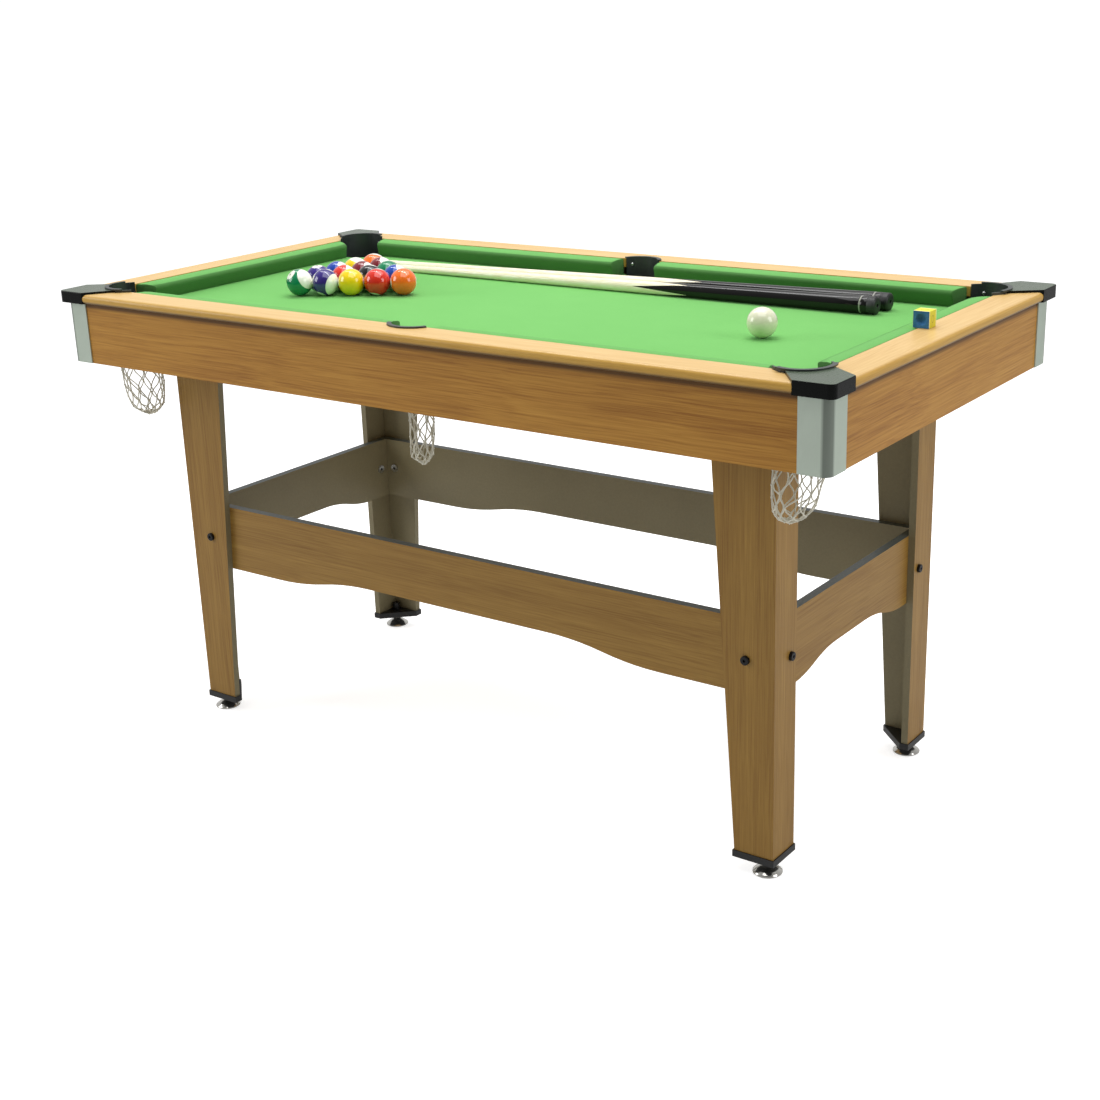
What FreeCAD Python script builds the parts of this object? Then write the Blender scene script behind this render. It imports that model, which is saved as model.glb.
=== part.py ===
"""Mini pool table on four angle-section legs, with its balls, cues and chalk.

Frame: X along the length, Y across the width, Z up. The origin is on the floor under the middle of
the table. All sizes are millimetres. Each function below builds one sub-part.
"""
import math
import os

import FreeCAD
import Part

# Playing top.
TABLE_LENGTH = 1500.0
TABLE_WIDTH = 775.0
CASTING_TOP = 806.0
RAIL_STEP = 4.0  # the wooden rails stand this far below the corner castings
RAIL_THICKNESS = 16.0
RAIL_WIDTH = 60.0
RAIL_SETBACK = 0.8  # wooden rails stand this far inside the corner castings
RAIL_BULLNOSE = 7.0
CUSHION_WIDTH = 35.0
CUSHION_NOSE_DROP = 5.0
CUSHION_NOSE_LIP = 5.0
CUSHION_UNDERCUT = 6.0
BED_DROP = 30.0  # rail top down to the top of the cloth
CLOTH_THICKNESS = 1.0
BED_THICKNESS = 14.0

# Cabinet.
APRON_BOTTOM = 680.0
APRON_INSET = 11.0
APRON_THICKNESS = 12.0
APRON_CORNER_RADIUS = 11.5
TRIM_THICKNESS = 2.0
TRIM_REACH = 47.0  # along each side from the corner
CASTING_REACH = 60.0
CASTING_CORNER_RADIUS = 10.0
CASTING_WALL = 3.0
CASTING_EDGE_RADIUS = 1.5
CLEAT_HEIGHT = 18.0
CLEAT_THICKNESS = 12.5

# Pockets: a corner and a side pocket centre, in the first quadrant.
CORNER_POCKET = (660.0, 300.0)
SIDE_POCKET = (0.0, 308.0)
CORNER_POCKET_RADIUS = 39.0
SIDE_POCKET_RADIUS = 38.0
LINER_WALL = 3.0
LINER_BOTTOM = 702.0
LINER_LIP_HEIGHT = 2.5
LINER_LIP_REACH = 7.0
LINER_CLEARANCE = 0.3
CORNER_WALL_HALF_ANGLE = 93.0  # each side of the outward diagonal
CORNER_LIP_HALF_ANGLE = 70.0
CORNER_SCREW_ANGLE = 64.0  # each side of the outward diagonal
SIDE_SCREW_ANGLE = 45.0
SCREW_LEVEL = 0.62  # share of the height from the cloth to the rail top
CASTING_HALF_ANGLE = 52.0
SIDE_WALL_HALF_ANGLE = 61.0
SCREW_HEAD_DIAMETER = 6.0
SCREW_HEAD_HEIGHT = 1.2
SCREW_SEAT_GAP = 0.01
# Net bottoms: the rear nets are gathered up shorter, and the rear right one most of all.
NET_BOTTOM = {"front_left": 575.0, "front_right": 586.0, "rear_left": 628.0, "rear_right": 652.0}
SIDE_NET_BOTTOM = {"front": 575.0, "rear": 628.0}
NET_WALL = 2.5
CORNER_NET_RADIUS = 40.0
SIDE_NET_RADIUS = 24.0
NET_ROUNDING = 18.0

# Cushion ends: where the nose and the back of a cushion stop, measured from the table's middle.
LONG_NOSE_END = 612.0
LONG_BACK_END = 632.0
SIDE_NOSE_START = 46.0
SIDE_BACK_START = 40.0
SHORT_NOSE_END = 250.0
SHORT_BACK_END = 268.0

# Legs and stretchers.
LEG_CORNER = (605.0, 268.0)
LEG_BOARD = 12.0
LEG_BOTTOM = 26.0
WIDE_BOARD_FOOT = 66.0
WIDE_BOARD_HEAD = 112.0
NARROW_BOARD_WIDTH = 64.5
STRETCHER_TOP = 409.0
STRETCHER_BOTTOM = 291.0
STRETCHER_THICKNESS = 15.0
STRETCHER_ARCH = 22.0
BLOCK_SIZE = 48.0
BLOCK_HEIGHT = 40.0
BOLT_HEIGHT = 350.0
BOLT_OFFSET = 48.0  # bolt axis from the leg's outer corner
BOLT_SHANK_DIAMETER = 6.0
BOLT_HOLE_DIAMETER = 6.4
BOLT_HEAD_DIAMETER = 14.0
BOLT_HEAD_HEIGHT = 5.0
BOLT_HEX_ACROSS = 5.0
NUT_DIAMETER = 16.0
NUT_THICKNESS = 3.0

# Feet.
CAP_BOTTOM = 24.0
CAP_TOP = 35.0
CAP_LIP = 2.0
CAP_BOSS_DIAMETER = 15.0
CAP_BOSS_TOP = 48.0
GLIDE_CENTRE = (584.0, 246.0)
GLIDE_DISC_DIAMETER = 46.0
GLIDE_DISC_HEIGHT = 5.0
GLIDE_STEM_DIAMETER = 8.0
GLIDE_STEM_TOP = 46.5
GLIDE_BORE_DIAMETER = 8.14
GLIDE_NUT_DIAMETER = 17.0
GLIDE_NUT_HEIGHT = 6.0

# Play set.
BALL_DIAMETER = 47.0
PLAY_GAP = 0.3  # loose pieces stand this far clear of the cloth and of each other
RACK_BASE_CENTRE = (-364.0, -56.0)
RACK_TURN = 27.4
RACK_ROWS = ((14, 12, 1, 3, 5), (4, 11, 8, 10), (2, 7, 6), (9, 15), (13,))
CUE_BALL_CENTRE = (456.0, -45.0)
CUE_LENGTH = 1067.0
CUE_BUTT_RADIUS = 14.5
CUE_TIP_RADIUS = 5.5
CUE_BUTT_LENGTH = 330.0
CUE_BUMPER_LENGTH = 14.0
CUE_FERRULE_LENGTH = 14.0
CUE_TIP_LENGTH = 8.0
CUE_BUTT_ENDS = {"cue_front": (532.7, 188.9), "cue_rear": (537.3, 226.5)}
CUE_TURN = 0.76  # degrees from the table's length
CHALK_SIDE = 25.0
CHALK_CENTRE = (694.5, 3.0)
CHALK_DIMPLE_RADIUS = 14.0
CHALK_DIMPLE_DEPTH = 4.0

# Levels and half sizes worked out from the sizes above.
HALF_LENGTH = TABLE_LENGTH / 2
HALF_WIDTH = TABLE_WIDTH / 2
RAIL_TOP = CASTING_TOP - RAIL_STEP
RAIL_BOTTOM = RAIL_TOP - RAIL_THICKNESS
CASTING_DEPTH = CASTING_TOP - RAIL_BOTTOM
CLOTH_TOP = RAIL_TOP - BED_DROP
BED_TOP = CLOTH_TOP - CLOTH_THICKNESS
BED_BOTTOM = BED_TOP - BED_THICKNESS
WOOD_X = HALF_LENGTH - RAIL_WIDTH
WOOD_Y = HALF_WIDTH - RAIL_WIDTH
APRON_X = HALF_LENGTH - APRON_INSET
APRON_Y = HALF_WIDTH - APRON_INSET
INSIDE_X = APRON_X - APRON_THICKNESS
INSIDE_Y = APRON_Y - APRON_THICKNESS
CORNER_LINER_RADIUS = CORNER_POCKET_RADIUS + LINER_WALL
SIDE_LINER_RADIUS = SIDE_POCKET_RADIUS + LINER_WALL
QUADRANTS = ((1, 1), (-1, 1), (-1, -1), (1, -1))
Z_AXIS = FreeCAD.Vector(0, 0, 1)
ORIGIN = FreeCAD.Vector(0, 0, 0)


def vector(x, y, z):
    """A FreeCAD vector."""
    return FreeCAD.Vector(x, y, z)


def box(x_range, y_range, z_range):
    """A box between two limits on each axis, given in either order."""
    lows = [min(pair) for pair in (x_range, y_range, z_range)]
    sizes = [abs(pair[1] - pair[0]) for pair in (x_range, y_range, z_range)]
    return Part.makeBox(*sizes, vector(*lows))


def prism(edges, low, high):
    """A solid of a closed outline drawn at height zero, between two heights."""
    face = Part.Face(Part.Wire(edges))
    face.translate(vector(0, 0, low))
    return face.extrude(vector(0, 0, high - low))


def polygon(points):
    """The edges of a closed outline of straight lines through (x, y) points."""
    corners = [vector(x, y, 0) for x, y in points]
    return [Part.makeLine(a, b) for a, b in zip(corners, corners[1:] + corners[:1])]


def cylinder(centre, radius, low, high):
    """An upright cylinder."""
    return Part.makeCylinder(radius, high - low, vector(centre[0], centre[1], low))


def sector_ring(centre, inner, outer, middle_angle, half_angle, low, high):
    """Part of an upright ring, spread to each side of a middle angle in degrees."""
    base = vector(centre[0], centre[1], low)
    spread = 2 * half_angle
    solid = Part.makeCylinder(outer, high - low, base, Z_AXIS, spread)
    solid = solid.cut(Part.makeCylinder(inner, high - low, base, Z_AXIS, spread))
    solid.rotate(base, Z_AXIS, middle_angle - half_angle)
    return solid


def revolve(points, centre):
    """A solid turned about an upright axis from (radius, height) points."""
    corners = [vector(radius, 0, height) for radius, height in points]
    face = Part.Face(Part.makePolygon(corners + corners[:1]))
    solid = face.revolve(ORIGIN, Z_AXIS, 360)
    solid.translate(vector(centre[0], centre[1], 0))
    return solid


def to_quadrant(shape, sign_x, sign_y):
    """A first-quadrant shape mirrored into the quadrant with these signs."""
    placed = shape.copy()
    if sign_x < 0:
        placed = placed.mirror(ORIGIN, vector(1, 0, 0))
    if sign_y < 0:
        placed = placed.mirror(ORIGIN, vector(0, 1, 0))
    return placed


def four_corners(shape):
    """A first-quadrant shape and its three mirror images."""
    return [to_quadrant(shape, *signs) for signs in QUADRANTS]


def pocket_cutters(low, high):
    """Upright cylinders that clear the six pocket liners between two heights."""
    corner = cylinder(CORNER_POCKET, CORNER_LINER_RADIUS + LINER_CLEARANCE, low, high)
    side = cylinder(SIDE_POCKET, SIDE_LINER_RADIUS + LINER_CLEARANCE, low, high)
    return four_corners(corner) + [side, to_quadrant(side, 1, -1)]


def cut_all(shape, tools):
    """A shape less every tool."""
    return shape.cut(Part.makeCompound(tools))


def casting_footprint(low, high):
    """The block of one corner casting, with its rounded outer corner and its hollow pocket side."""
    x, y = CORNER_POCKET
    radius = CORNER_LINER_RADIUS + LINER_CLEARANCE
    angles = [math.radians(45 + CASTING_HALF_ANGLE * step) for step in (1, 0, -1)]
    start, middle, end = [
        vector(x + radius * math.cos(angle), y + radius * math.sin(angle), 0) for angle in angles
    ]
    turn = CASTING_CORNER_RADIUS
    inner = turn * (1 - math.sqrt(0.5))
    corner_points = (
        vector(HALF_LENGTH, HALF_WIDTH - turn, 0),
        vector(HALF_LENGTH - inner, HALF_WIDTH - inner, 0),
        vector(HALF_LENGTH - turn, HALF_WIDTH, 0),
    )
    end_of_x = vector(HALF_LENGTH - CASTING_REACH, HALF_WIDTH, 0)
    end_of_y = vector(HALF_LENGTH, HALF_WIDTH - CASTING_REACH, 0)
    edges = [
        Part.Arc(start, middle, end).toShape(),
        Part.makeLine(end, end_of_y),
        Part.makeLine(end_of_y, corner_points[0]),
        Part.Arc(*corner_points).toShape(),
        Part.makeLine(corner_points[2], end_of_x),
        Part.makeLine(end_of_x, start),
    ]
    return prism(edges, low, high)


def corner_casting():
    """A moulded corner cap: a top plate on a skirt a little deeper than the rail, hollow underneath."""
    block = casting_footprint(RAIL_BOTTOM, CASTING_TOP)
    under = casting_footprint(RAIL_BOTTOM, CASTING_TOP - CASTING_WALL).Faces
    floor = min(under, key=lambda face: face.CenterOfMass.z)
    hollow = floor.makeOffset2D(-CASTING_WALL).extrude(vector(0, 0, CASTING_DEPTH - CASTING_WALL))
    outer_edges = [
        edge for edge in block.Edges
        if min(vertex.Z for vertex in edge.Vertexes) > CASTING_TOP - 1
        and (edge.CenterOfMass.x > HALF_LENGTH - CASTING_CORNER_RADIUS / 2
             or edge.CenterOfMass.y > HALF_WIDTH - CASTING_CORNER_RADIUS / 2)
        and edge.CenterOfMass.x + edge.CenterOfMass.y > HALF_LENGTH + HALF_WIDTH - CASTING_REACH
    ]
    return block.makeFillet(CASTING_EDGE_RADIUS, outer_edges).cut(hollow)


def bed_board():
    """The board that carries the cloth, with a hole for each pocket liner."""
    board = box((-INSIDE_X, INSIDE_X), (-INSIDE_Y, INSIDE_Y), (BED_BOTTOM, BED_TOP))
    return [cut_all(board, pocket_cutters(BED_BOTTOM, BED_TOP))]


def bed_cloth():
    """The cloth glued on the bed board, cut round each pocket."""
    sheet = box((-WOOD_X, WOOD_X), (-WOOD_Y, WOOD_Y), (BED_TOP, CLOTH_TOP))
    return [cut_all(sheet, pocket_cutters(BED_TOP, CLOTH_TOP))]


def bed_supports():
    """Cleats along the aprons under the bed board, and a block inside the top of each leg."""
    cleat_z = (BED_BOTTOM - CLEAT_HEIGHT, BED_BOTTOM)
    long_reach = CORNER_POCKET[0] - CASTING_REACH
    short_reach = SHORT_NOSE_END
    pieces = []
    for sign in (1, -1):
        y_range = (sign * (INSIDE_Y - CLEAT_THICKNESS), sign * INSIDE_Y)
        pieces.append(box((-long_reach, long_reach), y_range, cleat_z))
        x_range = (sign * (INSIDE_X - CLEAT_THICKNESS), sign * INSIDE_X)
        pieces.append(box(x_range, (-short_reach, short_reach), cleat_z))
    inner_x = LEG_CORNER[0] - LEG_BOARD
    inner_y = LEG_CORNER[1] - LEG_BOARD
    block = box(
        (inner_x - BLOCK_SIZE, inner_x),
        (inner_y - BLOCK_SIZE, inner_y),
        (BED_BOTTOM - BLOCK_HEIGHT, BED_BOTTOM),
    )
    return pieces + four_corners(block)


def rail_backing():
    """Packing strips between the bed board and the wooden rails, one behind each cushion."""
    z_range = (BED_TOP, RAIL_BOTTOM)
    gap = 1.5  # clear of the cushion backs
    long_strip = box((SIDE_NOSE_START, LONG_NOSE_END - gap), (WOOD_Y + gap, INSIDE_Y), z_range)
    pieces = four_corners(long_strip)
    for sign in (1, -1):
        x_range = (sign * (WOOD_X + gap), sign * INSIDE_X)
        pieces.append(box(x_range, (-SHORT_NOSE_END, SHORT_NOSE_END), z_range))
    return pieces


def apron(long_side, sign):
    """One board of the cabinet, long sides full length and ends fitted between them."""
    z_range = (APRON_BOTTOM, RAIL_BOTTOM)
    if not long_side:
        return [box((sign * INSIDE_X, sign * APRON_X), (-INSIDE_Y, INSIDE_Y), z_range)]
    board = box((-APRON_X, APRON_X), (sign * INSIDE_Y, sign * APRON_Y), z_range)
    corners = [
        edge for edge in board.Edges
        if abs(edge.CenterOfMass.y - sign * APRON_Y) < 0.01
        and abs(abs(edge.CenterOfMass.x) - APRON_X) < 0.01
    ]
    return [board.makeFillet(APRON_CORNER_RADIUS, corners)]


def rail(long_side, sign):
    """One wooden top rail with a bullnose outer edge, shaped to the castings and the pockets."""
    z_range = (RAIL_BOTTOM, RAIL_TOP)
    if long_side:
        outer = sign * (HALF_WIDTH - RAIL_SETBACK)
        blank = box((-WOOD_X, WOOD_X), (sign * WOOD_Y, outer), z_range)
        edges = [edge for edge in blank.Edges if abs(edge.CenterOfMass.y - outer) < 0.01]
    else:
        outer = sign * (HALF_LENGTH - RAIL_SETBACK)
        blank = box((sign * WOOD_X, outer), (-WOOD_Y, WOOD_Y), z_range)
        edges = [edge for edge in blank.Edges if abs(edge.CenterOfMass.x - outer) < 0.01]
    edges = [edge for edge in edges if abs(edge.CenterOfMass.z - (RAIL_TOP + RAIL_BOTTOM) / 2) > 1]
    blank = blank.makeFillet(RAIL_BULLNOSE, edges)
    tools = four_corners(casting_footprint(RAIL_BOTTOM, RAIL_TOP)) + pocket_cutters(*z_range)
    return [cut_all(blank, tools)]


def cushion_profile():
    """Cushion section as (distance in from the wood, height) points."""
    gap = PLAY_GAP
    nose_top = RAIL_TOP - CUSHION_NOSE_DROP
    return (
        (gap, CLOTH_TOP + gap),
        (CUSHION_WIDTH - CUSHION_UNDERCUT, CLOTH_TOP + gap),
        (CUSHION_WIDTH, nose_top - CUSHION_NOSE_LIP),
        (CUSHION_WIDTH, nose_top),
        (CUSHION_WIDTH - CUSHION_NOSE_LIP, nose_top + CUSHION_NOSE_DROP / 2),
        (gap, RAIL_TOP),
    )


def cushion_blank(plan):
    """A first-quadrant long cushion of this plan, as (x, y) points, under the cushion section."""
    points = [vector(0, WOOD_Y - inward, height) for inward, height in cushion_profile()]
    section = Part.Face(Part.makePolygon(points + points[:1]))
    bar = section.extrude(vector(HALF_LENGTH, 0, 0))
    return bar.common(prism(polygon(plan), CLOTH_TOP, RAIL_TOP + 1))


def long_cushion(sign_x, sign_y):
    """One of the four cushions on the long sides, cut at an angle beside each pocket."""
    nose_y = WOOD_Y - CUSHION_WIDTH
    plan = (
        (SIDE_BACK_START, WOOD_Y), (SIDE_NOSE_START, nose_y),
        (LONG_NOSE_END, nose_y), (LONG_BACK_END, WOOD_Y),
    )
    blank = cushion_blank(plan)
    blank = cut_all(blank, pocket_cutters(CLOTH_TOP, RAIL_TOP + 1))
    return [to_quadrant(blank, sign_x, sign_y)]


def short_cushion(sign):
    """The cushion of one end of the table."""
    nose_x = WOOD_X - CUSHION_WIDTH
    points = [vector(WOOD_X - inward, -HALF_WIDTH, height) for inward, height in cushion_profile()]
    section = Part.Face(Part.makePolygon(points + points[:1]))
    bar = section.extrude(vector(0, TABLE_WIDTH, 0))
    plan = (
        (WOOD_X, -SHORT_BACK_END), (WOOD_X, SHORT_BACK_END),
        (nose_x, SHORT_NOSE_END), (nose_x, -SHORT_NOSE_END),
    )
    blank = bar.common(prism(polygon(plan), CLOTH_TOP, RAIL_TOP + 1))
    blank = cut_all(blank, pocket_cutters(CLOTH_TOP, RAIL_TOP + 1))
    return [to_quadrant(blank, sign, 1)]


def corner_trims():
    """Rounded metal angles that cover the cabinet's four vertical corners."""
    inner_radius = APRON_CORNER_RADIUS
    outer_radius = inner_radius + TRIM_THICKNESS
    centre = (APRON_X - inner_radius, APRON_Y - inner_radius)
    low, high = APRON_BOTTOM, RAIL_BOTTOM
    bend = sector_ring(centre, inner_radius, outer_radius, 45, 45, low, high)
    outside = (APRON_X + TRIM_THICKNESS, APRON_Y + TRIM_THICKNESS)
    side_x = box((outside[0] - TRIM_REACH, centre[0]), (APRON_Y, outside[1]), (low, high))
    side_y = box((APRON_X, outside[0]), (outside[1] - TRIM_REACH, centre[1]), (low, high))
    return four_corners(bend.fuse([side_x, side_y]).removeSplitter())


def pocket_liner(centre, radius, middle_angle, wall_half_angle, lip_half_angle, wall_top):
    """A pocket liner: a tube through the bed, a wall behind the mouth and a lip over the rail."""
    outer = radius + LINER_WALL
    tube = cylinder(centre, outer, LINER_BOTTOM, BED_TOP)
    tube = tube.cut(cylinder(centre, radius, LINER_BOTTOM, BED_TOP))
    wall = sector_ring(centre, radius, outer, middle_angle, wall_half_angle, BED_TOP, wall_top)
    lip = sector_ring(
        centre, radius, radius + LINER_LIP_REACH, middle_angle, lip_half_angle,
        wall_top, wall_top + LINER_LIP_HEIGHT,
    )
    return tube.fuse([wall, lip]).removeSplitter()


def corner_liners():
    """The four corner pocket liners."""
    liner = pocket_liner(
        CORNER_POCKET, CORNER_POCKET_RADIUS, 45, CORNER_WALL_HALF_ANGLE, CORNER_LIP_HALF_ANGLE,
        CASTING_TOP,
    )
    return four_corners(liner)


def side_liners():
    """The two side pocket liners."""
    liner = pocket_liner(
        SIDE_POCKET, SIDE_POCKET_RADIUS, 90, SIDE_WALL_HALF_ANGLE, SIDE_WALL_HALF_ANGLE, RAIL_TOP
    )
    return [liner, to_quadrant(liner, 1, -1)]


def liner_screw(centre, radius, angle):
    """A small domed screw head on the inside of a liner wall, at an angle in degrees."""
    head_radius = SCREW_HEAD_DIAMETER / 2
    head = Part.makeCone(head_radius, head_radius * 0.6, SCREW_HEAD_HEIGHT, ORIGIN, vector(-1, 0, 0))
    seat = math.sqrt(radius ** 2 - head_radius ** 2) - SCREW_SEAT_GAP
    head.translate(vector(seat, 0, CLOTH_TOP + BED_DROP * SCREW_LEVEL))
    head.rotate(ORIGIN, Z_AXIS, angle)
    head.translate(vector(centre[0], centre[1], 0))
    return head


def liner_screws():
    """Two screws in each corner liner and two in each side liner."""
    corner_angles = (45 - CORNER_SCREW_ANGLE, 45 + CORNER_SCREW_ANGLE)
    side_angles = (90 - SIDE_SCREW_ANGLE, 90 + SIDE_SCREW_ANGLE)
    screws = []
    for angle in corner_angles:
        screws += four_corners(liner_screw(CORNER_POCKET, CORNER_POCKET_RADIUS, angle))
    for angle in side_angles:
        screw = liner_screw(SIDE_POCKET, SIDE_POCKET_RADIUS, angle)
        screws += [screw, to_quadrant(screw, 1, -1)]
    return screws


def corner_net(place, sign_x, sign_y):
    """The straight-sided net under one corner pocket, closed at the bottom."""
    outer, wall, turn = CORNER_NET_RADIUS, NET_WALL, NET_ROUNDING
    floor = NET_BOTTOM[place]
    points = (
        (0, floor), (outer - turn, floor), (outer, floor + turn), (outer, LINER_BOTTOM),
        (outer - wall, LINER_BOTTOM), (outer - wall, floor + turn + wall / 2),
        (outer - turn - wall / 2, floor + wall), (0, floor + wall),
    )
    return [to_quadrant(revolve(points, CORNER_POCKET), sign_x, sign_y)]


def side_net(row, sign):
    """The net under one side pocket, drawn in below the liner to a narrow bag."""
    top, bag, wall, turn = SIDE_LINER_RADIUS - 1, SIDE_NET_RADIUS, NET_WALL, NET_ROUNDING / 2
    neck = LINER_BOTTOM - 2 * NET_ROUNDING
    floor = SIDE_NET_BOTTOM[row]
    points = (
        (0, floor), (bag - turn, floor), (bag, floor + turn), (bag, neck),
        (top, LINER_BOTTOM), (top - wall, LINER_BOTTOM), (bag - wall, neck),
        (bag - wall, floor + turn + wall / 2), (bag - turn - wall / 2, floor + wall),
        (0, floor + wall),
    )
    return [to_quadrant(revolve(points, SIDE_POCKET), 1, sign)]


def bolt_sites():
    """The first-quadrant leg bolts, as (point on the board's outer face, outward direction)."""
    corner_x, corner_y = LEG_CORNER
    through_wide = (vector(corner_x - BOLT_OFFSET, corner_y, BOLT_HEIGHT), vector(0, 1, 0))
    through_narrow = (vector(corner_x, corner_y - BOLT_OFFSET, BOLT_HEIGHT), vector(1, 0, 0))
    return (through_wide, through_narrow)


def bolt_holes():
    """Clearance holes for every leg bolt, through board and stretcher."""
    depth = LEG_BOARD + STRETCHER_THICKNESS
    holes = []
    for point, outward in bolt_sites():
        hole = Part.makeCylinder(BOLT_HOLE_DIAMETER / 2, depth, point, -outward)
        holes += four_corners(hole)
    return holes


def leg(sign_x, sign_y):
    """One angle-section leg of two boards: a tapered wide one and a straight narrow one."""
    x, y = LEG_CORNER
    side = [
        vector(x, y, LEG_BOTTOM),
        vector(x - WIDE_BOARD_FOOT, y, LEG_BOTTOM),
        vector(x - WIDE_BOARD_HEAD, y, BED_BOTTOM),
        vector(x, y, BED_BOTTOM),
    ]
    wide = Part.Face(Part.makePolygon(side + side[:1])).extrude(vector(0, -LEG_BOARD, 0))
    narrow = box((x - LEG_BOARD, x), (y - NARROW_BOARD_WIDTH, y - LEG_BOARD), (LEG_BOTTOM, BED_BOTTOM))
    boards = [to_quadrant(board, sign_x, sign_y) for board in (wide, narrow)]
    return [cut_all(board, bolt_holes()) for board in boards]


def arch_edges(reach, plateau, end):
    """The side view of a stretcher as (position, height) edges: straight top, arched lower edge."""
    low, high, rise = STRETCHER_BOTTOM, STRETCHER_BOTTOM + STRETCHER_ARCH, STRETCHER_ARCH
    run = reach - plateau
    radius = (run ** 2 + rise ** 2) / (4 * rise)
    half_angle = math.asin(run / (2 * radius)) / 2
    dx = radius * math.sin(half_angle)
    dz = radius * (1 - math.cos(half_angle))
    middle = ((reach + plateau) / 2, (low + high) / 2)
    turning = vector(middle[0], 0, middle[1])
    right = [
        Part.Arc(vector(reach, 0, low), vector(reach - dx, 0, low + dz), turning),
        Part.Arc(turning, vector(plateau + dx, 0, high - dz), vector(plateau, 0, high)),
    ]
    right = [arc.toShape() for arc in right]
    left = [edge.mirror(ORIGIN, vector(1, 0, 0)) for edge in right]
    outline = [
        Part.makeLine(vector(plateau, 0, high), vector(-plateau, 0, high)),
        Part.makeLine(vector(-reach, 0, low), vector(-end, 0, low)),
        Part.makeLine(vector(-end, 0, low), vector(-end, 0, STRETCHER_TOP)),
        Part.makeLine(vector(-end, 0, STRETCHER_TOP), vector(end, 0, STRETCHER_TOP)),
        Part.makeLine(vector(end, 0, STRETCHER_TOP), vector(end, 0, low)),
        Part.makeLine(vector(end, 0, low), vector(reach, 0, low)),
    ]
    return right + left + outline


def stretcher(long_side, sign):
    """One rail of the frame that ties the legs together, bolted inside their boards."""
    inner_x = LEG_CORNER[0] - LEG_BOARD
    inner_y = LEG_CORNER[1] - LEG_BOARD
    if long_side:
        reach, plateau, end = 400.0, 190.0, inner_x
    else:
        reach, plateau, end = 190.0, 50.0, inner_y - STRETCHER_THICKNESS
    edges = Part.sortEdges(arch_edges(reach, plateau, end))[0]
    board = Part.Face(Part.Wire(edges)).extrude(vector(0, STRETCHER_THICKNESS, 0))
    if long_side:
        board.translate(vector(0, inner_y - STRETCHER_THICKNESS, 0))
        board = to_quadrant(board, 1, sign)
    else:
        board.rotate(ORIGIN, Z_AXIS, -90)
        board.translate(vector(inner_x - STRETCHER_THICKNESS, 0, 0))
        board = to_quadrant(board, sign, 1)
    return [cut_all(board, bolt_holes())]


def leg_bolts():
    """Socket-head bolts, one through each leg board."""
    bolts = []
    shank_length = LEG_BOARD + STRETCHER_THICKNESS + NUT_THICKNESS - 0.5
    for point, outward in bolt_sites():
        head = Part.makeCylinder(BOLT_HEAD_DIAMETER / 2, BOLT_HEAD_HEIGHT, point, outward)
        rim = [
            edge for edge in head.Edges
            if (edge.CenterOfMass - point).dot(outward) > BOLT_HEAD_HEIGHT - 0.1
        ]
        head = head.makeFillet(1.2, rim)
        shank = Part.makeCylinder(BOLT_SHANK_DIAMETER / 2, shank_length, point, -outward)
        socket_base = point + outward * (BOLT_HEAD_HEIGHT / 2)
        hexagon = [
            vector(math.cos(math.radians(60 * step)), math.sin(math.radians(60 * step)), 0)
            for step in range(7)
        ]
        socket = Part.Face(Part.makePolygon([corner * (BOLT_HEX_ACROSS / 2) for corner in hexagon]))
        socket = socket.extrude(vector(0, 0, BOLT_HEAD_HEIGHT))
        socket.Placement = FreeCAD.Placement(socket_base, FreeCAD.Rotation(Z_AXIS, outward))
        bolts += four_corners(head.cut(socket).fuse(shank))
    return bolts


def leg_nuts():
    """Flanged nuts on the inner faces of the stretchers."""
    depth = LEG_BOARD + STRETCHER_THICKNESS
    nuts = []
    for point, outward in bolt_sites():
        base = point - outward * depth
        nut = Part.makeCylinder(NUT_DIAMETER / 2, NUT_THICKNESS, base, -outward)
        nut = nut.cut(Part.makeCylinder(BOLT_SHANK_DIAMETER / 2, NUT_THICKNESS, base, -outward))
        nuts += four_corners(nut)
    return nuts


def foot_caps():
    """Moulded shoes on the leg ends, with a diagonal inner side and a boss for the glide."""
    x, y = LEG_CORNER
    lip = CAP_LIP
    inner_x, inner_y = x - LEG_BOARD, y - LEG_BOARD
    foot_x = x - WIDE_BOARD_FOOT - 1
    foot_y = y - NARROW_BOARD_WIDTH
    plan = (
        (x + lip, y + lip), (foot_x - lip, y + lip), (foot_x - lip, inner_y - lip),
        (inner_x - lip, foot_y - lip), (x + lip, foot_y - lip),
    )
    cap = prism(polygon(plan), CAP_BOTTOM, CAP_TOP)
    cap = cap.fuse(cylinder(GLIDE_CENTRE, CAP_BOSS_DIAMETER / 2, CAP_TOP, CAP_BOSS_TOP))
    seats = [
        box((foot_x, x), (inner_y, y), (LEG_BOTTOM, CAP_TOP)),
        box((inner_x, x), (foot_y, inner_y), (LEG_BOTTOM, CAP_TOP)),
    ]
    bore = cylinder(GLIDE_CENTRE, GLIDE_BORE_DIAMETER / 2, CAP_BOTTOM, CAP_BOSS_TOP)
    return four_corners(cut_all(cap, seats + [bore]).removeSplitter())


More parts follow.
